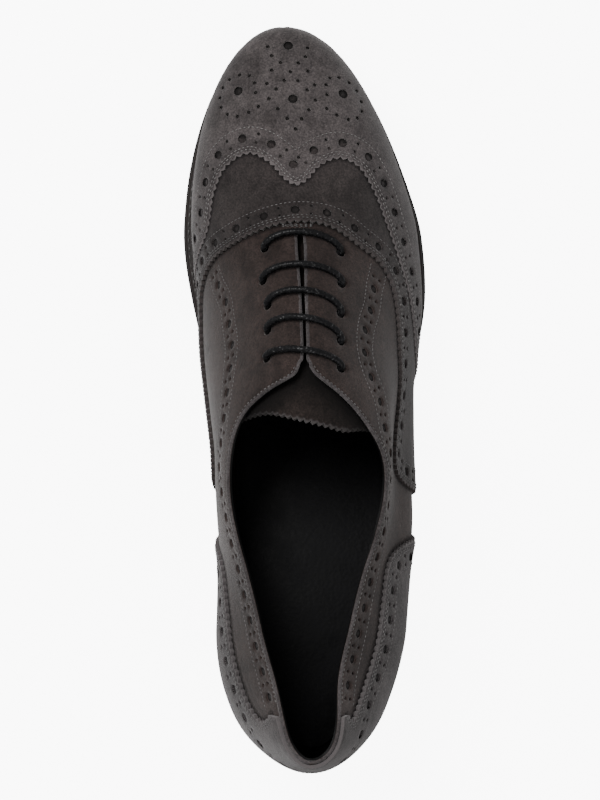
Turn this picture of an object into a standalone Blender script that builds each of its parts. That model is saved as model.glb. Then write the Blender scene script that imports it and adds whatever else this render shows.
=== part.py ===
"""Wingtip brogue, one right shoe, as an assembly of its real pieces.

The upper is drawn the way a last-maker draws it: a table of cross sections
gives the last, and every leather piece is a sheet laid on that last and then
given its own thickness.  Frame: +X is the outer (lateral) side, +Y points to
the toe, +Z is up, and the origin is on the floor under the middle of the shoe.
All sizes below are millimetres; the meshes are written in metres.
"""

import math

import bmesh
import bpy
import numpy as np
from mathutils import Vector
from mathutils.geometry import delaunay_2d_cdt

MM = 0.001

# Driving sizes
LAST_LENGTH = 259.8        # heel back to toe tip of the last, measured flat
HEEL_BACK = -129.2         # place of the heel back along the shoe
WALL = 2.2                 # leather and lining of the upper together
GAP = 0.3                  # clearance between pieces that touch
OVERLAY_GAP = 0.62         # clearance of an overlay over the curved upper, between facets
CAP_THICKNESS = 1.5        # wing cap, with the vamp edge that it laps over
OVERLAY_THICKNESS = 0.9    # vamp and heel counter
OUTSOLE_THICKNESS = 4.6
WELT_THICKNESS = 2.4
HEEL_BREAST = 64.0         # length of the heel, from the heel back
TOP_PIECE_THICKNESS = 5.0
INSOLE_RISE = 2.2          # insole top above the feather edge
LACE_DIAMETER = 2.3
LACE_HOLE_RADIUS = 1.75
SLIT_START = 190.0         # front end of the throat slit, from the heel back
TONGUE_DROP = 5.4          # how far the tongue lies under the last's surface
TONGUE_THICKNESS = 1.7

# Rounded ends of the plan: how far the rounding reaches and its power
HEEL_ROUND, HEEL_POWER = 50.0, 1.75
TOE_ROUND, TOE_POWER = 72.0, 1.5
TOE_RISE, TOE_RISE_POWER = 34.0, 1.6
BACK_LEAN = 3.8            # forward lean of the back seam ...
BACK_LEAN_HEIGHT = 38.0    # ... over this height above the bulge

# The last, one row for each section.  half_width and centre: the widest line
# in plan.  feather: height of the bottom edge.  bulge: widest line above it.
# ridge: top of the section.  ridge_shift: sideways lean of the top.
# fullness and crown: powers of the side and of the top.  tuck: how far the
# feather edge lies inside the widest line.
LAST_COLUMNS = (
    "from_heel half_width centre feather bulge ridge ridge_shift fullness crown tuck"
).split()
LAST_ROWS = np.array((
    (0, 30.4, 2.1, 27.0, 17.0, 100.0, 4.0, 2.40, 1.05, 3.5),
    (13, 32.7, 1.4, 26.85, 17.0, 99.0, 2.3, 1.52, 1.05, 3.5),
    (27, 32.2, 1.3, 26.6, 17.0, 94.0, -0.7, 1.38, 1.06, 3.5),
    (55, 32.1, 2.7, 25.0, 16.6, 95.2, -5.4, 1.40, 1.10, 3.0),
    (70, 32.7, 3.4, 23.0, 16.35, 95.2, -7.0, 1.62, 1.24, 3.4),
    (83, 34.2, 3.75, 20.8, 16.1, 95.8, -6.7, 1.90, 1.40, 3.8),
    (98, 34.6, 3.35, 18.0, 15.6, 96.2, -5.0, 2.36, 1.55, 4.2),
    (112, 34.5, 2.9, 15.0, 15.2, 94.8, -4.0, 2.60, 1.65, 4.2),
    (124, 35.2, 2.1, 12.5, 14.7, 91.5, -3.5, 2.40, 1.65, 3.8),
    (133, 35.8, 1.5, 10.8, 14.5, 88.0, -1.8, 2.20, 1.62, 3.4),
    (145, 37.0, 1.3, 9.0, 14.0, 82.0, -1.0, 1.75, 1.60, 2.9),
    (163, 38.1, 1.6, 7.8, 13.5, 71.0, -1.6, 1.50, 1.62, 2.4),
    (188, 38.0, 0.0, 7.6, 13.0, 54.5, -1.3, 1.65, 1.75, 2.2),
    (210, 37.9, -2.6, 8.4, 12.0, 45.5, -0.6, 1.95, 1.95, 2.2),
    (233, 38.4, -4.85, 10.6, 10.5, 41.0, 0.0, 2.20, 2.10, 2.0),
    (259.8, 39.2, -6.9, 15.0, 8.0, 38.0, 0.0, 2.20, 2.10, 1.5),
))

# The hollow of the wall under the ankle: how deep it is on each side, and how
# much of the height above the widest line it takes
WAIST_COLUMNS = "from_heel medial lateral".split()
WAIST_ROWS = np.array((
    (0, 0.0, 0.0), (45, 0.0, 0.0), (65, 0.0, 1.4), (83, 0.0, 3.5), (98, 0.0, 4.5),
    (112, 0.0, 4.5), (124, 0.0, 3.5), (136, 0.0, 1.9), (150, 0.0, 0.6), (165, 0.0, 0.0),
))
WAIST_REACH, WAIST_POWER = 0.6, 1.4

# Height of the topline above the floor, on the inner and the outer side
RIM_COLUMNS = "from_heel medial lateral".split()
RIM_ROWS = np.array((
    (0, 83.0, 83.0), (27, 79.5, 79.0), (55, 74.5, 74.0), (83, 71.5, 70.5),
    (98, 71.0, 70.2), (108, 72.2, 71.8), (114, 73.9, 74.0), (119, 75.8, 76.4),
    (123.5, 77.6, 78.5), (127.3, 79.3, 80.5), (130.4, 81.1, 82.2), (133.5, 82.7, 83.5),
    (136, 84.1, 84.3), (138, 84.7, 84.5), (141, 83.8, 83.8), (143.2, 82.85, 82.85), (145, 83.0, 83.0),
))

# How far the sole reaches past the last's widest line
SOLE_COLUMNS = "from_heel medial lateral".split()
SOLE_ROWS = np.array((
    (0, -2.0, -2.0), (40, -1.8, -1.8), (80, -3.5, -2.9), (110, -3.5, -2.3),
    (135, -1.9, 0.4), (150, 0.9, 2.2), (165, 3.6, 3.5), (180, 5.3, 4.0),
    (200, 4.6, 3.5), (225, 3.3, 2.9), (245, 2.2, 2.2), (259.8, 1.2, 1.2),
))

# Half width of the throat slit between the facings
SLIT_COLUMNS = "from_heel half_gap".split()
SLIT_ROWS = np.array(((140, 0.8), (150, 0.8), (170, 0.9), (184, 1.3), (190, 1.0)))

# Lace bars in plan, from the throat's front to its top: the inner and the outer
# hole, and how far the bar between them bows towards the toe
LACE_BARS = (
    ((-14.1, 53.3), (12.7, 51.9), 6.3),
    ((-14.7, 41.8), (13.0, 40.8), 6.2),
    ((-13.0, 33.1), (12.7, 30.3), 6.6),
    ((-13.0, 24.4), (12.7, 20.6), 6.2),
    ((-13.3, 14.7), (12.7, 11.2), 4.2),
)

# Edges of the overlays.  A plan point is (x, y) seen from above; a wall point
# is (side, y, height along the wall from the feather edge).
CAP_EDGE = (
    ("wall", -1, 33.0, 1.8), ("wall", -1, 38.5, 8.0), ("wall", -1, 45.0, 14.0),
    ("wall", -1, 49.5, 18.5), ("wall", -1, 59.8, 28.5), ("plan", -30.6, 73.5), ("plan", -26.4, 82.4),
    ("plan", -18.6, 86.6), ("plan", -11.6, 82.8), ("plan", -6.6, 77.0),
    ("plan", -2.8, 75.0), ("plan", 0.8, 77.0), ("plan", 5.0, 82.0), ("plan", 11.6, 84.8),
    ("plan", 18.2, 81.9), ("plan", 23.4, 73.5), ("plan", 28.0, 61.2),
    ("wall", 1, 48.3, 31.8), ("wall", 1, 38.0, 28.8), ("wall", 1, 27.0, 25.5), ("wall", 1, 17.0, 20.2),
    ("wall", 1, 8.0, 11.5), ("wall", 1, 4.0, 1.8),
)
VAMP_EDGE = (
    ("wall", -1, -34.0, 1.8), ("wall", -1, -30.5, 12.0), ("wall", -1, -26.0, 20.5),
    ("wall", -1, -18.0, 26.0), ("wall", -1, -9.0, 24.5), ("wall", -1, 0.0, 21.0),
    ("wall", -1, 15.0, 18.0), ("wall", -1, 30.0, 17.0), ("wall", -1, 38.5, 19.5),
    ("plan", -32.3, 48.5), ("plan", -24.3, 55.0), ("plan", -12.0, 60.5), ("plan", -1.6, 62.3),
    ("plan", 8.9, 60.7), ("plan", 19.4, 53.6), ("plan", 26.4, 47.8), ("wall", 1, 40.3, 38.0),
    ("wall", 1, 32.0, 37.3), ("wall", 1, 18.0, 37.5), ("wall", 1, 4.5, 36.3), ("wall", 1, -4.0, 35.6),
    ("wall", 1, -12.0, 37.8), ("wall", 1, -19.0, 39.6), ("wall", 1, -25.0, 35.2),
    ("wall", 1, -28.5, 28.5), ("wall", 1, -31.5, 18.0), ("wall", 1, -34.0, 1.8),
)
# The counter's edge, up the wall and then up the side of its heel tab
COUNTER_COLUMNS = "y medial lateral".split()
COUNTER_ROWS = (
    (-46.5, 1.8, 1.8), (-48.5, 11.0, 15.0), (-50.6, 19.0, 26.5), (-54.0, 25.5, 34.8),
    (-58.5, 28.6, 37.5), (-68.0, 29.2, 37.5), (-84.0, 31.2, 38.6), (-98.0, 34.6, 42.0),
    (-108.5, 38.6, 46.0), (-112.5, 43.6, 48.3), (-112.3, 48.5, 50.5), (-110.0, 53.0, 53.5),
)
OVERLAY_FOOT = 1.8         # lower edge of an overlay above the feather edge
RIM_MARGIN = 1.2           # counter's top edge under the topline

# Tongue: how far it reaches on each side of the ridge along the throat
TONGUE_COLUMNS = "from_heel medial lateral".split()
TONGUE_ROWS = np.array((
    (122, 23.4, 32.5), (132, 24.4, 28.5), (150, 21.0, 21.5), (175, 18.0, 18.0), (197, 15.0, 15.0),
))

# How finely the sheets are drawn
SECTIONS = 161
EDGE_CLEAR = 1.3           # bare band between an overlay's edge and its inner points
SECTION_POINTS = 60
UPPER_SECTIONS = 38
UPPER_LEVELS = 11
FACING_STATIONS = (128.0, 132.0, 135.5, 138.5, 141.0, 143.0, 145.5, 190.0)


# Curves and tables

def column(columns, rows, name, at):
    """A smooth curve through one column of a table, read at a distance from the heel."""
    x, y = rows[:, 0], rows[:, columns.index(name)]
    slope = np.gradient(y, x)
    at = np.clip(np.asarray(at, float), x[0], x[-1])
    i = np.clip(np.searchsorted(x, at) - 1, 0, len(x) - 2)
    step = x[i + 1] - x[i]
    t = (at - x[i]) / step
    return (
        (2 * t**3 - 3 * t**2 + 1) * y[i] + (t**3 - 2 * t**2 + t) * step * slope[i]
        + (3 * t**2 - 2 * t**3) * y[i + 1] + (t**3 - t**2) * step * slope[i + 1]
    )


def last(name, at):
    return column(LAST_COLUMNS, LAST_ROWS, name, at)


def by_side(columns, rows, side, at):
    return column(columns, rows, "medial" if side < 0 else "lateral", at)


def rounded(share, power):
    """From 0 at an end to 1 where its rounding stops, round at the very end."""
    return math.sqrt(1 - (1 - min(max(share, 0), 1)) ** power)


def eased(start, end, value):
    t = min(max((value - start) / (end - start), 0), 1)
    return t * t * (3 - 2 * t)


def half_width(from_heel):
    heel = rounded(from_heel / HEEL_ROUND, HEEL_POWER)
    toe = rounded((LAST_LENGTH - from_heel) / TOE_ROUND, TOE_POWER)
    return float(last("half_width", from_heel)) * heel * toe


def curve_through(points, step):
    """Points about a step apart along a smooth curve through the given points."""
    points = np.asarray(points, float)
    knots = np.r_[0, np.cumsum(np.sqrt(np.linalg.norm(np.diff(points, axis=0), axis=1)))]
    slope = np.gradient(points, knots, axis=0)
    made = [points[0]]
    for i in range(len(points) - 1):
        h = knots[i + 1] - knots[i]
        count = max(1, round(np.linalg.norm(points[i + 1] - points[i]) / step))
        for t in np.linspace(0, 1, count + 1)[1:]:
            made.append(
                (2 * t**3 - 3 * t**2 + 1) * points[i] + (t**3 - 2 * t**2 + t) * h * slope[i]
                + (3 * t**2 - 2 * t**3) * points[i + 1] + (t**3 - t**2) * h * slope[i + 1]
            )
    return np.array(made)


# The last

def section(from_heel, side):
    """One side of a cross section, from the feather edge up to the ridge."""
    width = half_width(from_heel)
    centre, tuck = last("centre", from_heel), last("tuck", from_heel)
    feather, bulge = last("feather", from_heel), last("bulge", from_heel)
    widest = feather + bulge
    height = (last("ridge", from_heel) - widest) * rounded(
        (LAST_LENGTH - from_heel) / TOE_RISE, TOE_RISE_POWER)
    near_heel = 1 - eased(0, HEEL_ROUND, from_heel)
    near_toe = eased(LAST_LENGTH - HEEL_ROUND, LAST_LENGTH, from_heel)

    low = np.linspace(0, 1, 10)
    inset = (1 - low) ** 2
    low_x = centre + side * (width - min(tuck, 0.9 * width) * inset)
    low_y = from_heel + tuck * inset * (near_heel - near_toe)
    low_z = feather + bulge * low

    turn = np.linspace(0, math.pi / 2, 46)[1:]
    fullness, crown = last("fullness", from_heel), last("crown", from_heel)
    rise = np.sin(turn) ** (2 / fullness)
    share = np.clip(1 - rise**fullness, 0, 1) ** (1 / crown)
    shift = last("ridge_shift", from_heel) * rise**1.5 * width / LAST_ROWS[0, 1]
    waist = by_side(WAIST_COLUMNS, WAIST_ROWS, side, from_heel)
    hollow = waist * np.sin(math.pi * np.minimum(rise / WAIST_REACH, 0.999)) ** WAIST_POWER
    high_x = centre + side * (width * share - hollow) + shift
    high_z = widest + height * rise
    high_y = from_heel + near_heel * BACK_LEAN * (height * rise / BACK_LEAN_HEIGHT) ** 1.5

    xs, ys, zs = np.r_[low_x, high_x], np.r_[low_y, high_y], np.r_[low_z, high_z]
    return np.stack([xs, ys + HEEL_BACK, zs], 1)


def arc_lengths(points):
    return np.r_[0, np.cumsum(np.linalg.norm(np.diff(points, axis=0), axis=1))]


def spread(points, count):
    """The same line with its points evenly spaced."""
    run = arc_lengths(points)
    even = np.linspace(0, run[-1], count)
    return np.stack([np.interp(even, run, points[:, axis]) for axis in range(3)], 1)


class Last:
    """The last as a grid: rows from heel to toe, columns from the inner feather edge
    over the ridge to the outer one.  A place on it is (from_heel, across), where across
    runs from -1 at the inner feather edge through 0 on the ridge to 1 at the outer."""

    def __init__(self):
        turn = np.linspace(0, math.pi, SECTIONS)
        self.from_heel = LAST_LENGTH * (1 - np.cos(turn)) / 2
        rows, girths = [], []
        for at in self.from_heel:
            inner, outer = section(at, -1), section(at, 1)
            girths.append((arc_lengths(inner)[-1], arc_lengths(outer)[-1]))
            inner, outer = (spread(half, SECTION_POINTS + 1) for half in (inner, outer))
            rows.append(np.r_[inner, outer[::-1][1:]])
        self.grid = np.array(rows)
        self.girths = np.array(girths)
        along, around = np.gradient(self.grid, axis=0), np.gradient(self.grid, axis=1)
        normals = np.cross(around, along)
        normals[[0, -1], :, 0] = 0
        normals[[0, -1], SECTION_POINTS] = normals[[0, -1], SECTION_POINTS - 1]
        self.normals = normals / np.linalg.norm(normals, axis=2, keepdims=True)
        ridge = self.grid[:, SECTION_POINTS]
        self.ridge_run = arc_lengths(ridge)
        outline = np.stack([self.from_heel, [half_width(at) for at in self.from_heel]], 1)
        self.outline_run = arc_lengths(outline)

    def row(self, from_heel):
        share = np.clip(1 - 2 * np.asarray(from_heel) / LAST_LENGTH, -1, 1)
        return np.arccos(share) / math.pi * (SECTIONS - 1)

    def read(self, table, from_heel, across):
        r = self.row(from_heel)
        c = (np.asarray(across) + 1) * SECTION_POINTS
        i = np.clip(np.floor(r).astype(int), 0, SECTIONS - 2)
        j = np.clip(np.floor(c).astype(int), 0, 2 * SECTION_POINTS - 1)
        u, v = (r - i)[..., None], (c - j)[..., None]
        low = table[i, j] * (1 - v) + table[i, j + 1] * v
        high = table[i + 1, j] * (1 - v) + table[i + 1, j + 1] * v
        return low * (1 - u) + high * u

    def girth(self, from_heel, side):
        half = self.girths[:, 0 if side < 0 else 1]
        return np.interp(from_heel, self.from_heel, half)

    def surface(self, from_heel, across, out=0.0):
        """Points on the last, or lifted off it along its normal."""
        from_heel, across = np.asarray(from_heel, float), np.asarray(across, float)
        normal = self.read(self.normals, from_heel, across)
        normal = normal / np.linalg.norm(normal, axis=-1, keepdims=True)
        return self.read(self.grid, from_heel, across) + normal * out

    def from_wall(self, side, y, height):
        """A place given by the distance up the wall from the feather edge."""
        at = y - HEEL_BACK
        return at, side * (1 - height / float(self.girth(at, side)))

    def from_plan(self, x, y):
        """A place given by what is seen from above."""
        at, across = y - HEEL_BACK, 0.0
        for _ in range(4):
            line = self.surface(np.full(2 * SECTION_POINTS + 1, at),
                                np.linspace(-1, 1, 2 * SECTION_POINTS + 1))
            low, high = int(np.argmin(line[:, 0])), int(np.argmax(line[:, 0]))
            index = np.interp(x, line[low:high + 1, 0], np.arange(low, high + 1))
            across = index / SECTION_POINTS - 1
            at += y - float(self.surface(at, across)[1])
        return at, across

    def from_height(self, from_heel, side, z):
        """Where a wall reaches a height above the floor."""
        across = np.linspace(side, 0, SECTION_POINTS + 1)
        line = self.surface(np.full(SECTION_POINTS + 1, from_heel), across)
        return float(np.interp(z, line[:, 2], across * side) * side)

    def place(self, mark):
        return self.from_plan(*mark[1:]) if mark[0] == "plan" else self.from_wall(*mark[1:])

    # Flat charts of the last, in millimetres, for cutting pieces out of it

    def to_front(self, places):
        """Along the ridge, and across from it."""
        at, across = np.array(places, float).T
        girth = np.where(across < 0, self.girth(at, -1), self.girth(at, 1))
        return np.stack([np.interp(at, self.from_heel, self.ridge_run), across * girth], 1)

    def from_front(self, chart):
        at = np.interp(chart[:, 0], self.ridge_run, self.from_heel)
        girth = np.where(chart[:, 1] < 0, self.girth(at, -1), self.girth(at, 1))
        return np.stack([at, np.clip(chart[:, 1] / girth, -1, 1)], 1)

    def to_back(self, places):
        """Around the heel from the back seam, and up from the feather edge."""
        at, across = np.array(places, float).T
        girth = np.where(across < 0, self.girth(at, -1), self.girth(at, 1))
        run = np.interp(at, self.from_heel, self.outline_run)
        return np.stack([np.sign(across) * run, (1 - np.abs(across)) * girth], 1)

    def from_back(self, chart):
        at = np.interp(np.abs(chart[:, 0]), self.outline_run, self.from_heel)
        side = np.where(chart[:, 0] < 0, -1.0, 1.0)
        girth = np.where(side < 0, self.girth(at, -1), self.girth(at, 1))
        return np.stack([at, side * np.clip(1 - chart[:, 1] / girth, 0, 1)], 1)


LAST = Last()


# Making objects

def colour(name, base, roughness):
    material = bpy.data.materials.new(name)
    material.use_nodes = True
    shader = material.node_tree.nodes["Principled BSDF"]
    shader.inputs["Base Color"].default_value = (*base, 1)
    shader.inputs["Roughness"].default_value = roughness
    shader.inputs["Metallic"].default_value = 0.0
    return material


def add_object(name, points, faces, material, merge=0.0):
    """An object from points in millimetres, with doubled points joined if asked."""
    mesh = bpy.data.meshes.new(name)
    mesh.from_pydata((np.asarray(points) * MM).tolist(), [], faces)
    shape = bmesh.new()
    shape.from_mesh(mesh)
    if merge:
        bmesh.ops.remove_doubles(shape, verts=shape.verts, dist=merge * MM)
    bmesh.ops.recalc_face_normals(shape, faces=shape.faces)
    shape.to_mesh(mesh)
    shape.free()
    mesh.materials.append(material)
    obj = bpy.data.objects.new(name, mesh)
    bpy.context.scene.collection.objects.link(obj)
    return obj


def face_outward(obj):
    """Turns an open sheet so that its faces look away from the shoe's middle line."""
    mesh = obj.data
    inside = Vector((0, 0, 30 * MM))
    facing = sum(
        face.area * face.normal.dot(face.center - Vector((inside.x, face.center.y, inside.z)))
        for face in mesh.polygons
    )
    if facing < 0:
        mesh.flip_normals()


def thicken(obj, thickness, outward):
    solid = obj.modifiers.new("thickness", "SOLIDIFY")
    solid.thickness = thickness * MM
    solid.offset = 1 if outward else -1
    solid.use_even_offset = False
    solid.use_quality_normals = True


def stations(start, end, count=UPPER_SECTIONS, extra=()):
    """Distances from the heel, closer together towards the round ends."""
    turn = np.linspace(0, math.pi, count + 1)
    evenly = LAST_LENGTH * (1 - np.cos(turn)) / 2
    inner = [at for at in evenly if start + 1 < at < end - 1]
    inner = [at for at in inner if all(abs(at - more) > 1.5 for more in extra)]
    return sorted([start, *inner, *(at for at in extra if start < at < end), end])


# The upper

def leather_edge(from_heel, side):
    """How far across the wall reaches: the ridge, the slit's edge or the topline."""
    if from_heel >= SLIT_START:
        return 0.0
    slit = column(SLIT_COLUMNS, SLIT_ROWS, "half_gap", from_heel)
    slit = side * float(slit / LAST.girth(from_heel, side))
    rim = LAST.from_height(from_heel, side, by_side(RIM_COLUMNS, RIM_ROWS, side, from_heel))
    return max(slit, rim, key=abs) if from_heel < RIM_ROWS[-1, 0] else slit


def make_upper(material):
    rows = stations(0, LAST_LENGTH, extra=FACING_STATIONS)
    points, faces = [], []
    for side in (-1, 1):
        base = len(points)
        for at in rows:
            levels = np.linspace(side, leather_edge(at, side), UPPER_LEVELS + 1)
            points.extend(LAST.surface(np.full(UPPER_LEVELS + 1, at), levels))
        for i in range(len(rows) - 1):
            for j in range(UPPER_LEVELS):
                a = base + i * (UPPER_LEVELS + 1) + j
                b = a + UPPER_LEVELS + 1
                faces.append((a, b, b + 1, a + 1))
    upper = add_object("upper", points, faces, material, merge=0.02)
    face_outward(upper)
    thicken(upper, WALL, outward=False)
    punch_lace_holes(upper)
    return upper


def punch_lace_holes(upper):
    """One cutter of ten pins, through the facings along their normals."""
    shape = bmesh.new()
    for *pair, _ in LACE_BARS:
        for hole in pair:
            place = LAST.from_plan(*hole)
            foot, top = (Vector(LAST.surface(*place, out) * MM) for out in (-6.0, 3.0))
            axis = top - foot
            turn = Vector((0, 0, 1)).rotation_difference(axis).to_matrix().to_4x4()
            turn.translation = (foot + top) / 2
            bmesh.ops.create_cone(
                shape, cap_ends=True, segments=10, radius1=LACE_HOLE_RADIUS * MM,
                radius2=LACE_HOLE_RADIUS * MM, depth=axis.length, matrix=turn)
    mesh = bpy.data.meshes.new("lace_hole_pins")
    shape.to_mesh(mesh)
    shape.free()
    pins = bpy.data.objects.new("lace_hole_pins", mesh)
    bpy.context.scene.collection.objects.link(pins)
    pins.hide_render = True
    pins.display_type = "WIRE"
    cut = upper.modifiers.new("lace_holes", "BOOLEAN")
    cut.operation = "DIFFERENCE"
    cut.object = pins


# Overlays

def last_grid():
    """Places of the upper's own grid, closer than its sections need at the sides."""
    rows = stations(0, LAST_LENGTH)[1:-1]
    back_seam = [(0.0, across) for across in np.linspace(0.96, 0.04, 13)]
    return back_seam + [(at, across) for at in rows for across in np.linspace(-0.96, 0.96, 27)]


def inside_loop(loop, points, clear):
    """Which points lie inside a closed loop, and clear of its edge."""
    a, b = loop, np.roll(loop, -1, axis=0)
    x, y = points[:, 0][:, None], points[:, 1][:, None]
    run = b - a
    crossing = (a[:, 1] > y) != (b[:, 1] > y)
    at_x = a[:, 0] + (y - a[:, 1]) / np.where(run[:, 1] == 0, 1e-9, run[:, 1]) * run[:, 0]
    inside = np.sum(crossing & (x < at_x), axis=1) % 2 == 1
    t = ((x - a[:, 0]) * run[:, 0] + (y - a[:, 1]) * run[:, 1]) / np.maximum((run**2).sum(1), 1e-9)
    t = np.clip(t, 0, 1)
    away = np.hypot(x - a[:, 0] - t * run[:, 0], y - a[:, 1] - t * run[:, 1]).min(axis=1)
    return inside & (away > clear)


def overlay(name, loop, to_chart, from_chart, thickness, material):
    """A piece cut out of the last's surface by a loop of its chart, then thickened."""
    fill = to_chart(last_grid())
    fill = fill[inside_loop(loop, fill, EDGE_CLEAR)]
    chart = np.r_[loop, fill]
    edges = [(i, (i + 1) % len(loop)) for i in range(len(loop))]
    cut = delaunay_2d_cdt([Vector(p) for p in chart], edges, [], 0, 1e-4, False)
    flat = np.array([tuple(p) for p in cut[0]])
    faces = np.array([tuple(face) for face in cut[2]])
    faces = faces[inside_loop(loop, flat[faces].mean(axis=1), 0.0)]
    places = from_chart(flat)
    points = LAST.surface(places[:, 0], places[:, 1], OVERLAY_GAP)
    piece = add_object(name, points, faces.tolist(), material, merge=0.02)
    face_outward(piece)
    thicken(piece, thickness, outward=True)
    return piece


def foot_line(start, end, side, count):
    """The lower edge of an overlay, its points closing up towards a round end."""
    rows = start + (end - start) * np.sin(np.linspace(0, math.pi / 2, count))
    return [LAST.from_wall(side, at + HEEL_BACK, OVERLAY_FOOT) for at in rows]


def make_cap(material):
    """The wing cap: the W edge, then round the toe along the sole."""
    edge = curve_through(LAST.to_front([LAST.place(mark) for mark in CAP_EDGE]), 4.5)
    first, final = (LAST.place(CAP_EDGE[i])[0] for i in (0, -1))
    outer = LAST.to_front(foot_line(final, LAST_LENGTH, 1, 24)[1:])
    inner = LAST.to_front(foot_line(first, LAST_LENGTH, -1, 24)[1:])
    tip = LAST.to_front([(LAST_LENGTH, across) for across in (0.5, 0.25, 0.0, -0.25, -0.5)])
    loop = np.r_[edge, outer, tip, inner[::-1]]
    return overlay("toe_cap", loop, LAST.to_front, LAST.from_front, CAP_THICKNESS, material)


def make_vamp(material):
    """The vamp between the cap's edge and the quarters, with its two long tails."""
    rear = curve_through(LAST.to_front([LAST.place(mark) for mark in VAMP_EDGE]), 4.5)
    marks = [LAST.place(mark) for mark in CAP_EDGE]
    front = curve_through(LAST.to_front(marks), 4.5)
    front = step_back(front, 0.5)
    foot = [np.linspace(LAST.place(VAMP_EDGE[i])[0], marks[i][0] - 0.6, 6) for i in (0, -1)]
    inner, outer = (
        LAST.to_front([LAST.from_wall(side, at + HEEL_BACK, OVERLAY_FOOT) for at in rows[1:-1]])
        for side, rows in zip((-1, 1), foot))
    loop = np.r_[rear, outer, front[::-1], inner[::-1]]
    return overlay("vamp", loop, LAST.to_front, LAST.from_front, OVERLAY_THICKNESS, material)


def step_back(line, distance):
    """A chart line moved towards the heel, square to its own run."""
    run = np.gradient(line, axis=0)
    square = np.stack([-run[:, 1], run[:, 0]], 1)
    square /= np.linalg.norm(square, axis=1, keepdims=True)
    return line + square * distance


def make_counter(material):
    """The heel counter: up its inner edge, along the topline's back, down its outer edge."""
    edges, tops, feet = [], [], []
    for side in (-1, 1):
        height = COUNTER_COLUMNS.index("medial" if side < 0 else "lateral")
        marks = [LAST.from_wall(side, row[0], row[height]) for row in COUNTER_ROWS]
        edges.append(curve_through(LAST.to_back(marks), 5.0))
        rows = marks[-1][0] * (1 - np.sin(np.linspace(0, math.pi / 2, 7)))
        rims = [by_side(RIM_COLUMNS, RIM_ROWS, side, at) - RIM_MARGIN for at in rows]
        tops.append([(at, LAST.from_height(at, side, z)) for at, z in zip(rows, rims)])
        feet.append(foot_line(marks[0][0], 0.0, side, 11))
    inner_top, outer_top = (LAST.to_back(top) for top in tops)
    inner_foot, outer_foot = (LAST.to_back(foot) for foot in feet)
    loop = np.r_[
        edges[0], inner_top, outer_top[-2::-1], edges[1][::-1],
        outer_foot[1:-1], inner_foot[:0:-1],
    ]
    return overlay(
        "heel_counter", loop, LAST.to_back, LAST.from_back, OVERLAY_THICKNESS, material)


# The bottom

def outline(from_heel, side, margin):
    """A point of the last's widest line in plan, moved outward by a margin."""
    near = np.clip(np.array([from_heel - 0.05, from_heel + 0.05]), 0, LAST_LENGTH)
    ends = np.array([
        (last("centre", at) + side * half_width(at), at + HEEL_BACK) for at in near])
    run = ends[1] - ends[0]
    normal = np.array([run[1], -run[0]]) * side
    if from_heel in (0.0, LAST_LENGTH):
        normal = np.array([0.0, 1.0 if from_heel else -1.0])
    middle = np.array([last("centre", from_heel) + side * half_width(from_heel), from_heel + HEEL_BACK])
    return middle + normal / np.linalg.norm(normal) * margin


def sole_margin(from_heel, side):
    return float(by_side(SOLE_COLUMNS, SOLE_ROWS, side, from_heel))


def inner_margin(from_heel, side):
    """The inside of the upper's foot, measured from the widest line."""
    return -float(last("tuck", from_heel)) - WALL * 1.12


def feather(from_heel):
    return float(last("feather", from_heel))


def outsole_top(from_heel):
    return feather(from_heel) - GAP - WELT_THICKNESS - GAP


def outsole_bottom(from_heel):
    """Flat on the floor under the ball, then up into the arch and the toe spring."""
    return max(0.0, outsole_top(from_heel) - OUTSOLE_THICKNESS - GAP / 2)


def ring(rows, margin, height):
    """One level of a plate: the inner-side row of points and the outer-side row."""
    sides = []
    for side in (-1, 1):
        plan = [outline(at, side, margin(at, side)) for at in rows]
        sides.append([(x, y, height(at)) for (x, y), at in zip(plan, rows)])
    return sides


def plate(name, rows, levels, material):
    """A solid plate through rings from its bottom level to its top level."""
    points, faces = [], []
    count = len(rows)
    for margin, height in levels:
        inner, outer = ring(rows, margin, height)
        points.extend(inner + outer[::-1])
    around = 2 * count
    for level in range(len(levels) - 1):
        for i in range(around):
            a, b = level * around + i, level * around + (i + 1) % around
            faces.append((a, b, b + around, a + around))
    for base in (0, (len(levels) - 1) * around):
        for i in range(count - 1):
            faces.append((base + i, base + i + 1, base + around - 2 - i, base + around - 1 - i))
    return add_object(name, points, faces, material, merge=0.005)


def inset(margin, amount):
    return lambda at, side: margin(at, side) - amount


def raised(height, amount):
    return lambda at: height(at) + amount


def make_outsole(material):
    levels = (
        (inset(sole_margin, 0.9), outsole_bottom),
        (sole_margin, raised(outsole_bottom, 1.1)),
        (sole_margin, raised(outsole_top, -0.8)),
        (inset(sole_margin, 0.5), outsole_top),
    )
    rows = stations(0, LAST_LENGTH, count=46, extra=(176.0, 198.0))
    return plate("outsole", rows, levels, material)


def make_welt(material):
    """A strip all round between the outsole and the upper's foot."""
    rows = stations(0, LAST_LENGTH, count=44)
    corners = (
        (inset(sole_margin, 0.8), raised(outsole_top, GAP)),
        (inset(sole_margin, 0.8), raised(feather, -GAP)),
        (inner_margin, raised(feather, -GAP)),
        (inner_margin, raised(outsole_top, GAP)),
    )
    points, faces = [], []
    around = 2 * len(rows) - 2
    for margin, height in corners:
        inner, outer = ring(rows, margin, height)
        points.extend(inner + outer[::-1][1:-1])
    for level in range(len(corners)):
        above = (level + 1) % len(corners)
        for i in range(around):
            j = (i + 1) % around
            faces.append((level * around + i, level * around + j, above * around + j, above * around + i))
    return add_object("welt", points, faces, material)


def make_insole(material):
    def edge(at, side):
        return inner_margin(at, side) - 3.5 * GAP
    levels = (
        (inset(edge, 0.2), raised(outsole_top, GAP)),
        (edge, raised(feather, INSOLE_RISE - 0.6)),
        (inset(edge, 0.6), raised(feather, INSOLE_RISE)),
    )
    return plate("insole", stations(0, LAST_LENGTH, count=34), levels, material)


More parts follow.
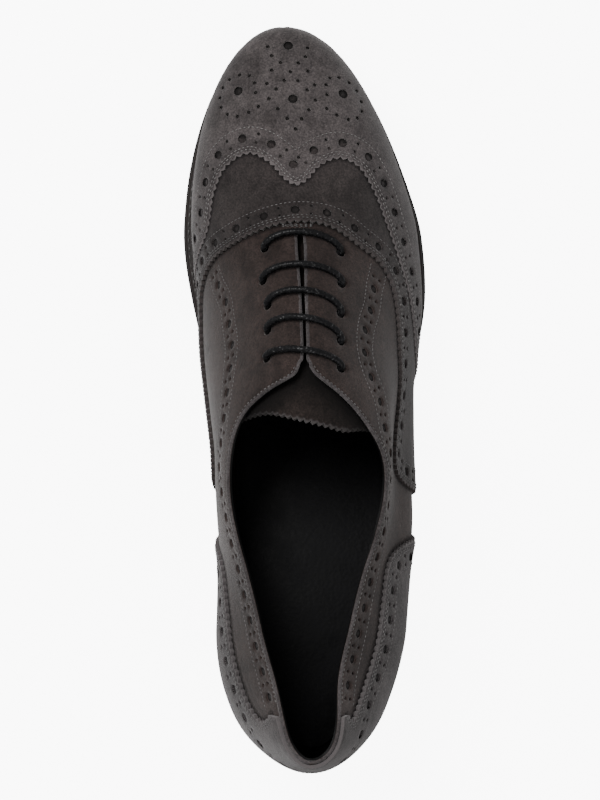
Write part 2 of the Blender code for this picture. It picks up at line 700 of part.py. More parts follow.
def make_heel(stack_material, rubber_material):
    """A stacked heel of three lifts with a groove at each joint, and its rubber top piece."""
    rows = stations(0, HEEL_BREAST, count=46)
    top = raised(outsole_bottom, -GAP)
    foot = TOP_PIECE_THICKNESS + GAP
    taper = 1.6

    def at_share(share):
        return lambda at: foot + (top(at) - foot) * share

    levels = []
    for lift in range(3):
        for share, groove in ((lift / 3 + 0.02, 0.25), (lift / 3 + 0.06, 0), (lift / 3 + 0.31, 0)):
            levels.append((inset(sole_margin, 0.4 + taper * (1 - share) + groove), at_share(share)))
    levels[0] = (inset(sole_margin, 0.4 + taper), at_share(0))
    levels.append((inset(sole_margin, 0.4), at_share(1)))
    stack = plate("heel_stack", rows, levels, stack_material)

    def flat(height):
        return lambda at: height

    piece = plate("heel_top_piece", rows, (
        (inset(sole_margin, 0.8 + taper), flat(0.0)),
        (inset(sole_margin, 0.4 + taper), flat(0.8)),
        (inset(sole_margin, 0.4 + taper), flat(TOP_PIECE_THICKNESS)),
    ), rubber_material)
    return stack, piece


# The throat

def make_tongue(material):
    """A leather tongue under the throat, a lace's thickness under the facings."""
    rows = np.linspace(TONGUE_ROWS[0, 0], TONGUE_ROWS[-1, 0], 12)
    points, faces = [], []
    across_count = 11
    for at in rows:
        inner, outer = (float(by_side(TONGUE_COLUMNS, TONGUE_ROWS, side, at)) for side in (-1, 1))
        shares = [a / float(LAST.girth(at, a)) for a in np.linspace(-inner, outer, across_count)]
        line = LAST.surface(np.full(across_count, at), np.array(shares))
        line[:, 2] -= TONGUE_DROP
        points.extend(line)
    for i in range(len(rows) - 1):
        for j in range(across_count - 1):
            a, b = i * across_count + j, (i + 1) * across_count + j
            faces.append((a, b, b + 1, a + 1))
    tongue = add_object("tongue", points, faces, material)
    face_outward(tongue)
    thicken(tongue, TONGUE_THICKNESS, outward=False)
    return tongue


def lace_route(pair, bow):
    """One bar of the lace: up through a hole, over the facings and down the other hole."""
    radius = LACE_DIAMETER / 2
    ends = LAST.to_front([LAST.from_plan(*hole) for hole in pair])
    route = []
    for share, out in (
        (0, -3.2), (0, -0.6), (0.02, 0.9), (0.09, radius + 0.55), (0.2, radius + 0.6),
        (0.35, radius + 0.7), (0.5, radius + 0.8), (0.65, radius + 0.7), (0.8, radius + 0.6),
        (0.91, radius + 0.55), (0.98, 0.9), (1, -0.6), (1, -3.2),
    ):
        middle = ends[:1] * (1 - share) + ends[1:] * share
        middle[0, 0] += bow * (1 - abs(2 * share - 1) ** 2.5)
        route.append(LAST.surface(*LAST.from_front(middle)[0], out))
    return curve_through(route, LACE_DIAMETER)


def make_lace_bar(index, pair, bow, material):
    curve = bpy.data.curves.new(f"lace_bar_{index}", "CURVE")
    curve.dimensions = "3D"
    curve.bevel_depth = LACE_DIAMETER / 2 * MM
    curve.bevel_resolution = 1
    curve.use_fill_caps = True
    route = lace_route(pair, bow) * MM
    line = curve.splines.new("POLY")
    line.points.add(len(route) - 1)
    for point, place in zip(line.points, route):
        point.co = (*place, 1)
    curve.materials.append(material)
    bar = bpy.data.objects.new(f"lace_bar_{index}", curve)
    bpy.context.scene.collection.objects.link(bar)
    return bar


def centre_on_floor(pieces):
    """Parents every piece to one empty, placed so that the shoe stands over the origin."""
    bpy.context.view_layer.update()
    graph = bpy.context.evaluated_depsgraph_get()
    corners = []
    for piece in pieces:
        shown = piece.evaluated_get(graph)
        corners.extend(tuple(vertex.co) for vertex in shown.to_mesh().vertices)
        shown.to_mesh_clear()
    low, high = np.min(corners, axis=0), np.max(corners, axis=0)
    shoe = bpy.data.objects.new("brogue", None)
    bpy.context.scene.collection.objects.link(shoe)
    shoe.location = (-(low[0] + high[0]) / 2, -(low[1] + high[1]) / 2, -low[2])
    for obj in bpy.data.objects:
        if obj is not shoe and obj.parent is None:
            obj.parent = shoe


def main():
    for old in list(bpy.data.objects):
        bpy.data.objects.remove(old)
    suede = colour("grey_suede", (0.075, 0.066, 0.062), 0.95)
    cap_suede = colour("grey_suede_cap", (0.085, 0.076, 0.072), 0.95)
    black_leather = colour("black_leather", (0.012, 0.012, 0.013), 0.5)
    sole_leather = colour("dark_sole_leather", (0.022, 0.018, 0.016), 0.4)
    welt_leather = colour("brown_welt_leather", (0.045, 0.028, 0.022), 0.5)
    rubber = colour("black_rubber", (0.015, 0.015, 0.015), 0.7)
    cord = colour("waxed_black_cord", (0.012, 0.012, 0.014), 0.35)
    pieces = [
        make_outsole(sole_leather), make_welt(welt_leather), *make_heel(sole_leather, rubber),
        make_insole(black_leather), make_upper(suede), make_tongue(suede),
        make_vamp(suede), make_cap(cap_suede), make_counter(cap_suede),
    ]
    for index, (*pair, bow) in enumerate(LACE_BARS, start=1):
        pieces.append(make_lace_bar(index, pair, bow, cord))
    for piece in pieces:
        if piece.type == "MESH":
            piece.data.shade_smooth()
            piece.data.set_sharp_from_angle(angle=math.radians(40))
    centre_on_floor(pieces)


main()
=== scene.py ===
# %% [markdown]
# # A grey suede wingtip brogue
#
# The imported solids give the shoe's real size and place.  This file dresses them: fine leather
# panels with pinked edges and punched holes, thread, lace, lining, sole edge, floor, light and
# camera.  Every size is in millimetres and is written to the meshes in metres.

import math
from collections import Counter

import bmesh
import bpy
import numpy as np
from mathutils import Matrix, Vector
from mathutils.geometry import delaunay_2d_cdt


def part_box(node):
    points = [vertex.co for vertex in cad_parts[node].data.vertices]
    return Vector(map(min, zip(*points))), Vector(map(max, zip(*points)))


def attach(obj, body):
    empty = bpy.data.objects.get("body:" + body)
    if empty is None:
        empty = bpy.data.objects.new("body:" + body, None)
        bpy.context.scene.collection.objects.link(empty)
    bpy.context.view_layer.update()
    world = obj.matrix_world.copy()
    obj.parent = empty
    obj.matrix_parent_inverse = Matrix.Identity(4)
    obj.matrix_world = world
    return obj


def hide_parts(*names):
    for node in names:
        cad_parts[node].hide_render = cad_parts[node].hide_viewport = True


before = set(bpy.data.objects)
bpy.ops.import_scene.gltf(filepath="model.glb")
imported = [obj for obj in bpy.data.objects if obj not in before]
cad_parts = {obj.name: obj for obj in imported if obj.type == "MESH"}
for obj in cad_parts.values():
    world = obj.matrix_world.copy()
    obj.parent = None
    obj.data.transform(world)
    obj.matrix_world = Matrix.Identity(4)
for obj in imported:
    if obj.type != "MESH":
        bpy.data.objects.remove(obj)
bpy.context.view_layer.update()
MM = 0.001

# %% [markdown]
# ## The last
#
# A shoe is pulled over a last, so the whole upper follows one smooth form.  It could be sculpted,
# but here each cross section comes from a row of a short table, and a formula fills the rest:
# a tucked foot, a widest line, and a side that closes to a ridge.  The solids were drawn on the
# same table, so a panel laid on this form lies where its solid lies.

# %% Table of the last
LAST_LENGTH = 259.8
HEEL_BACK = -129.2
HEEL_ROUND, HEEL_POWER = 50.0, 1.75
TOE_ROUND, TOE_POWER = 72.0, 1.5
TOE_RISE, TOE_RISE_POWER = 34.0, 1.6
BACK_LEAN, BACK_LEAN_HEIGHT = 3.8, 38.0
LAST_COLUMNS = (
    "from_heel half_width centre feather bulge ridge ridge_shift fullness crown tuck"
).split()
LAST_ROWS = np.array((
    (0, 30.4, 2.1, 27.0, 17.0, 100.0, 4.0, 2.40, 1.05, 3.5),
    (13, 32.7, 1.4, 26.85, 17.0, 99.0, 2.3, 1.52, 1.05, 3.5),
    (27, 32.2, 1.3, 26.6, 17.0, 94.0, -0.7, 1.38, 1.06, 3.5),
    (55, 32.1, 2.7, 25.0, 16.6, 95.2, -5.4, 1.40, 1.10, 3.0),
    (70, 32.7, 3.4, 23.0, 16.35, 95.2, -7.0, 1.62, 1.24, 3.4),
    (83, 34.2, 3.75, 20.8, 16.1, 95.8, -6.7, 1.90, 1.40, 3.8),
    (98, 34.6, 3.35, 18.0, 15.6, 96.2, -5.0, 2.36, 1.55, 4.2),
    (112, 34.5, 2.9, 15.0, 15.2, 94.8, -4.0, 2.60, 1.65, 4.2),
    (124, 35.2, 2.1, 12.5, 14.7, 91.5, -3.5, 2.40, 1.65, 3.8),
    (133, 35.8, 1.5, 10.8, 14.5, 88.0, -1.8, 2.20, 1.62, 3.4),
    (145, 37.0, 1.3, 9.0, 14.0, 82.0, -1.0, 1.75, 1.60, 2.9),
    (163, 38.1, 1.6, 7.8, 13.5, 71.0, -1.6, 1.50, 1.62, 2.4),
    (188, 38.0, 0.0, 7.6, 13.0, 54.5, -1.3, 1.65, 1.75, 2.2),
    (210, 37.9, -2.6, 8.4, 12.0, 45.5, -0.6, 1.95, 1.95, 2.2),
    (233, 38.4, -4.85, 10.6, 10.5, 41.0, 0.0, 2.20, 2.10, 2.0),
    (259.8, 39.2, -6.9, 15.0, 8.0, 38.0, 0.0, 2.20, 2.10, 1.5),
))
SIDE_COLUMNS = "from_heel medial lateral".split()
WAIST_ROWS = np.array((
    (0, 0.0, 0.0), (45, 0.0, 0.0), (65, 0.0, 1.4), (83, 0.0, 3.5), (98, 0.0, 4.5),
    (112, 0.0, 4.5), (124, 0.0, 3.5), (136, 0.0, 1.9), (150, 0.0, 0.6), (165, 0.0, 0.0),
))
WAIST_REACH, WAIST_POWER = 0.6, 1.4
TOPLINE_ROWS = np.array((
    (0, 83.0, 83.0), (27, 79.5, 79.0), (55, 74.5, 74.0), (83, 71.5, 70.5),
    (98, 71.0, 70.2), (108, 72.2, 71.8), (114, 73.9, 74.0), (119, 75.8, 76.4),
    (123.5, 77.6, 78.5), (127.3, 79.3, 80.5), (130.4, 81.1, 82.2), (133.5, 82.7, 83.5),
    (136, 84.1, 84.3), (138, 84.7, 84.5), (141, 83.8, 83.8), (143.2, 82.85, 82.85), (145, 83.0, 83.0),
))
SOLE_ROWS = np.array((
    (0, -2.0, -2.0), (40, -1.8, -1.8), (80, -3.5, -2.9), (110, -3.5, -2.3),
    (135, -1.9, 0.4), (150, 0.9, 2.2), (165, 3.6, 3.5), (180, 5.3, 4.0),
    (200, 4.6, 3.5), (225, 3.3, 2.9), (245, 2.2, 2.2), (259.8, 1.2, 1.2),
))
SLIT_COLUMNS = "from_heel half_gap".split()
SLIT_ROWS = np.array(((140, 0.8), (150, 0.8), (170, 0.9), (184, 1.3), (190, 1.0)))
SLIT_START = 190.0


def hermite(t, step, ends, slopes):
    """A smooth stretch between two values with the slopes at both."""
    return (
        (2 * t**3 - 3 * t**2 + 1) * ends[0] + (t**3 - 2 * t**2 + t) * step * slopes[0]
        + (3 * t**2 - 2 * t**3) * ends[1] + (t**3 - t**2) * step * slopes[1]
    )


def column(columns, rows, name, at):
    """A smooth curve through one column of a table."""
    x, y = rows[:, 0], rows[:, columns.index(name)]
    slope = np.gradient(y, x)
    at = np.clip(np.asarray(at, float), x[0], x[-1])
    i = np.clip(np.searchsorted(x, at) - 1, 0, len(x) - 2)
    step = x[i + 1] - x[i]
    return hermite((at - x[i]) / step, step, (y[i], y[i + 1]), (slope[i], slope[i + 1]))


def last(name, at):
    return column(LAST_COLUMNS, LAST_ROWS, name, at)


def by_side(rows, side, at):
    return column(SIDE_COLUMNS, rows, "medial" if side < 0 else "lateral", at)


def rounded(share, power):
    return np.sqrt(1 - (1 - np.clip(share, 0, 1)) ** power)


def eased(start, end, value):
    t = np.clip((value - start) / (end - start), 0, 1)
    return t * t * (3 - 2 * t)


def half_width(from_heel):
    heel = rounded(from_heel / HEEL_ROUND, HEEL_POWER)
    return last("half_width", from_heel) * heel * rounded((LAST_LENGTH - from_heel) / TOE_ROUND, TOE_POWER)


def section(from_heel, side):
    """One side of a cross section, from the feather edge up to the ridge."""
    width, centre, tuck = half_width(from_heel), last("centre", from_heel), last("tuck", from_heel)
    feather, bulge = last("feather", from_heel), last("bulge", from_heel)
    height = (last("ridge", from_heel) - feather - bulge) * rounded(
        (LAST_LENGTH - from_heel) / TOE_RISE, TOE_RISE_POWER)
    near_heel = 1 - eased(0, HEEL_ROUND, from_heel)
    near_toe = eased(LAST_LENGTH - HEEL_ROUND, LAST_LENGTH, from_heel)
    low = np.linspace(0, 1, 10)
    inset = (1 - low) ** 2
    low_x = centre + side * (width - min(tuck, 0.9 * width) * inset)
    low_y = from_heel + tuck * inset * (near_heel - near_toe)
    turn = np.linspace(0, math.pi / 2, 60)[1:]
    fullness = last("fullness", from_heel)
    rise = np.sin(turn) ** (2 / fullness)
    share = np.clip(1 - rise**fullness, 0, 1) ** (1 / last("crown", from_heel))
    shift = last("ridge_shift", from_heel) * rise**1.5 * width / LAST_ROWS[0, 1]
    waist = by_side(WAIST_ROWS, side, from_heel)
    hollow = waist * np.sin(math.pi * np.minimum(rise / WAIST_REACH, 0.999)) ** WAIST_POWER
    high_y = from_heel + near_heel * BACK_LEAN * (height * rise / BACK_LEAN_HEIGHT) ** 1.5
    return np.stack([
        np.r_[low_x, centre + side * (width * share - hollow) + shift],
        np.r_[low_y, high_y] + HEEL_BACK,
        np.r_[feather + bulge * low, feather + bulge + height * rise],
    ], 1)


# %% The last as a grid
def arc_lengths(points):
    return np.r_[0, np.cumsum(np.linalg.norm(np.diff(points, axis=0), axis=1))]


def spread(points, count):
    run = arc_lengths(points)
    even = np.linspace(0, run[-1], count)
    return np.stack([np.interp(even, run, points[:, axis]) for axis in range(points.shape[1])], 1)


def curve_through(points, step):
    """Points about a step apart along a smooth curve through the given points."""
    points = np.asarray(points, float)
    knots = np.r_[0, np.cumsum(np.sqrt(np.linalg.norm(np.diff(points, axis=0), axis=1)))]
    slope = np.gradient(points, knots, axis=0)
    made = [points[:1]]
    for i in range(len(points) - 1):
        count = max(1, round(np.linalg.norm(points[i + 1] - points[i]) / step))
        t = np.linspace(0, 1, count + 1)[1:, None]
        made.append(hermite(t, knots[i + 1] - knots[i], points[i:i + 2], slope[i:i + 2]))
    return np.concatenate(made)


class Last:
    """Rows from heel to toe, columns from the inner feather edge over the ridge to the outer.
    A place is (from_heel, across), with across from -1 (inner) through 0 (ridge) to 1 (outer)."""

    rows, half = 241, 80

    def __init__(self):
        self.from_heel = LAST_LENGTH * (1 - np.cos(np.linspace(0, math.pi, self.rows))) / 2
        grid, girths = [], []
        for at in self.from_heel:
            sides = section(at, -1), section(at, 1)
            girths.append([arc_lengths(side)[-1] for side in sides])
            inner, outer = (spread(side, self.half + 1) for side in sides)
            grid.append(np.r_[inner, outer[::-1][1:]])
        self.grid, self.girths = np.array(grid), np.array(girths)
        normals = np.cross(np.gradient(self.grid, axis=1), np.gradient(self.grid, axis=0))
        normals[[0, -1], :, 0] = 0
        normals[[0, -1], self.half] = normals[[0, -1], self.half - 1]
        self.normals = normals / np.linalg.norm(normals, axis=2, keepdims=True)
        self.ridge_run = arc_lengths(self.grid[:, self.half])
        self.outline_run = arc_lengths(np.stack([self.from_heel, half_width(self.from_heel)], 1))

    def read(self, table, at, across):
        r = np.arccos(np.clip(1 - 2 * at / LAST_LENGTH, -1, 1)) / math.pi * (self.rows - 1)
        c = (np.clip(across, -1, 1) + 1) * self.half
        i = np.clip(np.floor(r).astype(int), 0, self.rows - 2)
        j = np.clip(np.floor(c).astype(int), 0, 2 * self.half - 1)
        u, v = (r - i)[..., None], (c - j)[..., None]
        low = table[i, j] * (1 - v) + table[i, j + 1] * v
        return low * (1 - u) + (table[i + 1, j] * (1 - v) + table[i + 1, j + 1] * v) * u

    def girth(self, at, side):
        inner, outer = (np.interp(at, self.from_heel, self.girths[:, k]) for k in (0, 1))
        return np.where(np.asarray(side) < 0, inner, outer)

    def normal(self, places):
        n = self.read(self.normals, places[..., 0], places[..., 1])
        return n / np.linalg.norm(n, axis=-1, keepdims=True)

    def surface(self, places, out=0.0):
        places = np.asarray(places, float)
        out = np.asarray(out, float)[..., None]
        return self.read(self.grid, places[..., 0], places[..., 1]) + self.normal(places) * out

    def from_wall(self, side, y, height):
        at = y - HEEL_BACK
        return at, side * (1 - height / float(self.girth(at, side)))

    def from_plan(self, x, y):
        at, across = y - HEEL_BACK, 0.0
        line = np.linspace(-1, 1, 2 * self.half + 1)
        for _ in range(4):
            xs = self.surface(np.stack([np.full(len(line), at), line], 1))[:, 0]
            low, high = int(np.argmin(xs)), int(np.argmax(xs))
            across = np.interp(x, xs[low:high + 1], line[low:high + 1])
            at += y - float(self.surface(np.array([at, across]))[1])
        return at, float(across)

    def from_height(self, at, side, z):
        across = np.linspace(side, 0, 2 * self.half + 1)
        zs = self.surface(np.stack([np.full(len(across), at), across], 1))[:, 2]
        return float(np.interp(z, zs, across * side) * side)

    def place(self, mark):
        return self.from_plan(*mark[1:]) if mark[0] == "plan" else self.from_wall(*mark[1:])


LAST = Last()
upper_low, upper_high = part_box("upper")
flat_grid = LAST.grid[..., :2].reshape(-1, 2)
SHIFT = np.array([
    (upper_low[0] + upper_high[0]) / 2 / MM - (flat_grid[:, 0].min() + flat_grid[:, 0].max()) / 2,
    (upper_low[1] + upper_high[1]) / 2 / MM - (flat_grid[:, 1].min() + flat_grid[:, 1].max()) / 2,
    0.0,
])
print("the frame's shift of the last in mm:", SHIFT.round(3))

# %% [markdown]
# ## Finishes
#
# Suede is leather with its fibres raised: dull, soft, lighter where the nap was brushed one way
# and darker the other way.  A shader group mixes broad brushed patches, small mottles, short
# strokes and single fibres.  It lightens cut edges and paints shade on the narrow band beside an
# overlay, both marked on each panel with point attributes; the painted shade darkens the colour and
# weakens the sheen.  The smooth leathers share a second group for their grain.  The groups give
# colours and values; the shaders stay in each material.

# %% Node helpers
def feed(tree, socket, value):
    """Gives a socket a value, another node's output, or a list of outputs."""
    if isinstance(value, bpy.types.NodeSocket):
        tree.links.new(value, socket)
    elif isinstance(value, list):
        for part in value:
            feed(tree, socket, part)
    else:
        socket.default_value = value


def put(tree, kind, sockets=None, output=0, **settings):
    """An output of a new node, which has its settings and what goes into its sockets."""
    made = tree.nodes.new(kind)
    for name, value in settings.items():
        setattr(made, name, value)
    for name, value in (sockets or {}).items():
        feed(tree, made.inputs[name], value)
    return made.outputs[output]


def new_group(name, kind, inputs, outputs):
    """A node group with its sockets: (name, socket type, default)."""
    tree = bpy.data.node_groups.new(name, kind)
    for label, socket, default in inputs:
        made = tree.interface.new_socket(label, in_out="INPUT", socket_type="NodeSocket" + socket)
        if default is not None:
            made.default_value = default
    for label, socket in outputs:
        tree.interface.new_socket(label, in_out="OUTPUT", socket_type="NodeSocket" + socket)
    return tree, tree.nodes.new("NodeGroupInput").outputs, tree.nodes.new("NodeGroupOutput").inputs


def noise(tree, where, scale, detail=4.0, roughness=0.6, distortion=0.0):
    return put(tree, "ShaderNodeTexNoise", {
        "Vector": where, "Scale": scale, "Detail": detail, "Roughness": roughness,
        "Distortion": distortion})


def ramp(tree, value, low, high, to_low=0.0, to_high=1.0):
    return put(tree, "ShaderNodeMapRange", {
        "Value": value, "From Min": low, "From Max": high, "To Min": to_low, "To Max": to_high,
    }, interpolation_type="SMOOTHSTEP")


def blend(tree, share, first, second, how="MIX"):
    sockets = {0: share, 6: first, 7: second}
    return put(tree, "ShaderNodeMix", sockets, 2, data_type="RGBA", blend_type=how)


def arithmetic(tree, operation, first, second):
    return put(tree, "ShaderNodeMath", {0: first, 1: second}, operation=operation)


def weighted(tree, *parts):
    """The sum of values, each times its weight."""
    total = 0.0
    for value, weight in parts:
        total = arithmetic(tree, "ADD", total, arithmetic(tree, "MULTIPLY", value, weight))
    return total


def marked(tree, label):
    return put(tree, "ShaderNodeAttribute", output="Fac", attribute_name=label)


print("node helpers:", put.__name__, feed.__name__)

# %% Shader groups
# Sizes of the noises, in features for each metre
PATCHES, MOTTLES, STROKES, FIBRES = 38.0, 125.0, 420.0, 1500.0
CLOUDS, WEAR = 60.0, 520.0
STROKE_STRETCH, STROKE_TURN = (1.0, 0.45, 0.8), (0.0, 0.0, 0.35)
FIBRE_DARK, FIBRE_LIGHT = (0.5, 0.5, 0.5, 1), (1.6, 1.56, 1.54, 1)
# Painted shade: the colour that shaded places blend towards, and how far they go
SHADE_COLOUR, SHADE_DEPTH = (0.0006, 0.0005, 0.0005, 1), 0.85


def suede_group():
    tree, given, out = new_group(
        "suede_nap", "ShaderNodeTree",
        (("Deep", "Color", (0.03, 0.026, 0.025, 1)), ("Brushed", "Color", (0.1, 0.09, 0.088, 1)),
         ("Cut", "Color", (0.05, 0.045, 0.044, 1)), ("Sheen", "Float", 0.14)),
        (("Colour", "Color"), ("Sheen", "Float"), ("Height", "Float")))
    where = put(tree, "ShaderNodeTexCoord", output="Object")
    stretched = put(tree, "ShaderNodeMapping", {
        "Vector": where, "Scale": STROKE_STRETCH, "Rotation": STROKE_TURN})
    broad = ramp(tree, noise(tree, where, PATCHES, 3.0, 0.55, 1.0), 0.31, 0.69)
    mottles = ramp(tree, noise(tree, where, MOTTLES, 3.0, 0.55, 1.2), 0.36, 0.64)
    strokes = noise(tree, stretched, STROKES, 4.0, 0.65, 0.6)
    fibres = noise(tree, where, FIBRES, 5.0, 0.8)
    share = weighted(tree, (ramp(tree, strokes, 0.3, 0.72), 0.3), (broad, 0.48), (mottles, 0.18))
    base = blend(tree, share, given["Deep"], given["Brushed"])
    speckle = blend(tree, ramp(tree, fibres, 0.34, 0.66), FIBRE_DARK, FIBRE_LIGHT)
    cut = ramp(tree, marked(tree, "cut_edge"), 0.6, 1.0, 0.0, 0.75)
    worn = blend(tree, cut, blend(tree, 1.0, base, speckle, "MULTIPLY"), given["Cut"])
    # Painted shade: the shade attribute darkens the colour and weakens the sheen
    shade = arithmetic(tree, "MULTIPLY", marked(tree, "shade"), SHADE_DEPTH)
    lit = arithmetic(tree, "SUBTRACT", 1.0, shade)
    feed(tree, out["Colour"], blend(tree, shade, worn, SHADE_COLOUR))
    feed(tree, out["Sheen"], arithmetic(tree, "MULTIPLY", given["Sheen"], lit))
    feed(tree, out["Height"], weighted(tree, (fibres, 0.7), (strokes, 0.6)))
    return tree


def grain_group():
    tree, given, out = new_group(
        "leather_grain", "ShaderNodeTree",
        (("Dark", "Color", (0.01, 0.01, 0.01, 1)), ("Light", "Color", (0.03, 0.03, 0.03, 1)),
         ("Grain Scale", "Float", 900.0)),
        (("Colour", "Color"), ("Roughness", "Float"), ("Height", "Float")))
    where = put(tree, "ShaderNodeTexCoord", output="Object")
    cells = put(tree, "ShaderNodeTexVoronoi", {
        "Vector": where, "Scale": given["Grain Scale"]}, feature="SMOOTH_F1")
    wear = noise(tree, where, WEAR, 3.0)
    share = weighted(tree, (noise(tree, where, CLOUDS), 0.7), (wear, 0.3))
    feed(tree, out["Colour"], blend(tree, ramp(tree, share, 0.3, 0.7), given["Dark"], given["Light"]))
    feed(tree, out["Roughness"], ramp(tree, share, 0.25, 0.75, 0.38, 0.62))
    feed(tree, out["Height"], weighted(tree, (cells, 1.0), (wear, 0.5)))
    return tree


SUEDE_NAP, LEATHER_GRAIN = suede_group(), grain_group()
print("shader groups:", SUEDE_NAP.name, LEATHER_GRAIN.name)

# %% Materials
CUT_LIGHT = 1.45           # a cut edge against the brushed nap beside it
NAP_STRENGTH, NAP_DEPTH, GRAIN_STRENGTH = 0.55, 0.35, 0.4
SUEDES = {                 # deep tone, brushed tone, then sheen and cut edge where they differ
    "cap_suede": ((0.01, 0.0086, 0.0085), (0.04, 0.0352, 0.035)),
    "vamp_suede": ((0.0045, 0.0037, 0.0036), (0.0178, 0.0149, 0.0144)),
    "quarter_suede": ((0.0042, 0.0028, 0.0024), (0.0184, 0.0129, 0.0115)),
    "counter_suede": ((0.0094, 0.0083, 0.0083), (0.0345, 0.031, 0.0312)),
    "tongue_suede": ((0.0019, 0.0013, 0.0011), (0.0118, 0.0088, 0.0078), 0.05, (0.03, 0.0268, 0.0265)),
    # The topline bead's suede: a lighter copy of the quarters' suede, as a painted highlight
    "lit_roll_suede": ((0.0115, 0.01, 0.0101), (0.037, 0.0335, 0.0342)),
    # The suede in the holes: partly the underlying suede's own tone, partly painted shade
    "hole_suede": ((0.0042, 0.0036, 0.0035), (0.0125, 0.0109, 0.0105)),
}
LEATHERS = {               # dark tone, light tone, grain scale, bump in mm, then coat and gloss
    "lining_leather": ((0.0005, 0.0005, 0.0005), (0.0016, 0.0016, 0.0017), 700.0, 0.15, 0.0, 0.04),
    "sock_leather": ((0.0009, 0.0009, 0.001), (0.003, 0.003, 0.0033), 800.0, 0.12, 0.0, 0.04),
    "sole_leather": ((0.0022, 0.0017, 0.0015), (0.0068, 0.0053, 0.0047), 500.0, 0.08, 0.1, 0.12),
    "welt_leather": ((0.0024, 0.0014, 0.0011), (0.0072, 0.0044, 0.0036), 600.0, 0.06, 0.05, 0.12),
    "heel_rubber": ((0.002, 0.002, 0.002), (0.006, 0.006, 0.006), 1500.0, 0.06),
    "cap_thread": ((0.03, 0.0272, 0.0266), (0.068, 0.0625, 0.0612), 3000.0, 0.03),
    "seam_thread": ((0.012, 0.0108, 0.0105), (0.044, 0.0402, 0.0393), 3000.0, 0.03),
    "dark_thread": ((0.006, 0.0048, 0.0042), (0.016, 0.0128, 0.0112), 3000.0, 0.03),
    "lace_cord": ((0.0006, 0.0006, 0.0007), (0.0018, 0.0018, 0.0022), 2500.0, 0.005, 0.11, 0.05),
}


def new_material(name, **fixed):
    material = bpy.data.materials.new(name)
    material.use_nodes = True
    shader = material.node_tree.nodes["Principled BSDF"]
    for socket, value in fixed.items():
        shader.inputs[socket.replace("_", " ")].default_value = value
    return material, material.node_tree, shader


def dress(tree, shader, group, values, outputs, strength, depth):
    """Runs a shader group into a material's shader, its height as bump."""
    made = put(tree, "ShaderNodeGroup", values, node_tree=group).node.outputs
    for output, socket in outputs.items():
        feed(tree, shader.inputs[socket], made[output])
    feed(tree, shader.inputs["Normal"], put(tree, "ShaderNodeBump", {
        "Height": made["Height"], "Strength": strength, "Distance": depth * MM}))


def suede(name, deep, brushed, sheen=0.14, cut=None):
    material, tree, shader = new_material(
        name, Roughness=0.95, Specular_IOR_Level=0.1, Sheen_Roughness=0.45, Sheen_Tint=(0.9, 0.88, 0.88, 1))
    cut = cut or tuple(CUT_LIGHT * c for c in brushed)
    values = {"Deep": (*deep, 1), "Brushed": (*brushed, 1), "Cut": (*cut, 1), "Sheen": sheen}
    outputs = {"Colour": "Base Color", "Sheen": "Sheen Weight"}
    dress(tree, shader, SUEDE_NAP, values, outputs, NAP_STRENGTH, NAP_DEPTH)
    return material


def leather(name, dark, light, grain, depth, coat=0.0, gloss=0.5):
    material, tree, shader = new_material(
        name, Coat_Weight=coat, Coat_Roughness=0.25, Specular_IOR_Level=gloss)
    values = {"Dark": (*dark, 1), "Light": (*light, 1), "Grain Scale": grain}
    outputs = {"Colour": "Base Color", "Roughness": "Roughness"}
    dress(tree, shader, LEATHER_GRAIN, values, outputs, GRAIN_STRENGTH, depth)
    return material


FINISH = {name: suede(name, *row) for name, row in SUEDES.items()}
FINISH.update({name: leather(name, *row) for name, row in LEATHERS.items()})
print("finishes:", ", ".join(FINISH))

# %% [markdown]
# ## Camera, floor and light
#
# The shoe is seen from straight above with the toe up.  A long lens from two metres keeps the
# sole's edge beside the upper as narrow as it looks.  One wide soft light, a weaker one from the
# other side and a pale surround give the even light of a studio table.  The floor glows for the
# camera alone, so it looks nearly white and yet doesn't light the shoe's sides from below.

# %% Camera, floor and light
CAMERA_HEIGHT = 2000.0
VIEW_HEIGHT = 287.05       # how much of the floor the frame shows from top to bottom
CAMERA_AIM = np.array([-1.6, 0.2])
SENSOR_WIDTH = 36.0
FLOOR_REACH, FLOOR_GLOW = 3.0, 8.2
SURROUND = 0.92
LIGHTS = {                 # place and size in metres, power in watts
    "key": ((-0.48, 0.5, 1.15), 0.7, 34),
    "fill": ((0.5, -0.85, 0.85), 0.9, 9),
}


def link(obj):
    bpy.context.scene.collection.objects.link(obj)
    return obj


def make_camera():
    data = bpy.data.cameras.new("camera")
    data.sensor_width = SENSOR_WIDTH
    data.lens = SENSOR_WIDTH * CAMERA_HEIGHT / VIEW_HEIGHT
    data.clip_end = 20.0
    camera = link(bpy.data.objects.new("camera", data))
    camera.location = (*((CAMERA_AIM + SHIFT[:2]) * MM), CAMERA_HEIGHT * MM)
    bpy.context.scene.camera = camera


def make_light(name, place, size, power):
    data = bpy.data.lights.new(name, "AREA")
    data.shape, data.size, data.energy = "DISK", size, power
    lamp = link(bpy.data.objects.new(name, data))
    lamp.location = place
    lamp.rotation_euler = (-Vector(place)).to_track_quat("-Z", "Y").to_euler()


def make_floor():
    mesh = bpy.data.meshes.new("floor")
    corners = ((-1, -1, 0), (1, -1, 0), (1, 1, 0), (-1, 1, 0))
    mesh.from_pydata([Vector(corner) * FLOOR_REACH for corner in corners], [], [(0, 1, 2, 3)])
    material, tree, shader = new_material(
        "pale_floor", Base_Color=(0.5, 0.5, 0.5, 1), Roughness=0.9, Emission_Strength=FLOOR_GLOW)
    feed(tree, shader.inputs["Emission Color"], put(tree, "ShaderNodeLightPath", output="Is Camera Ray"))
    mesh.materials.append(material)
    floor = link(bpy.data.objects.new("floor", mesh))


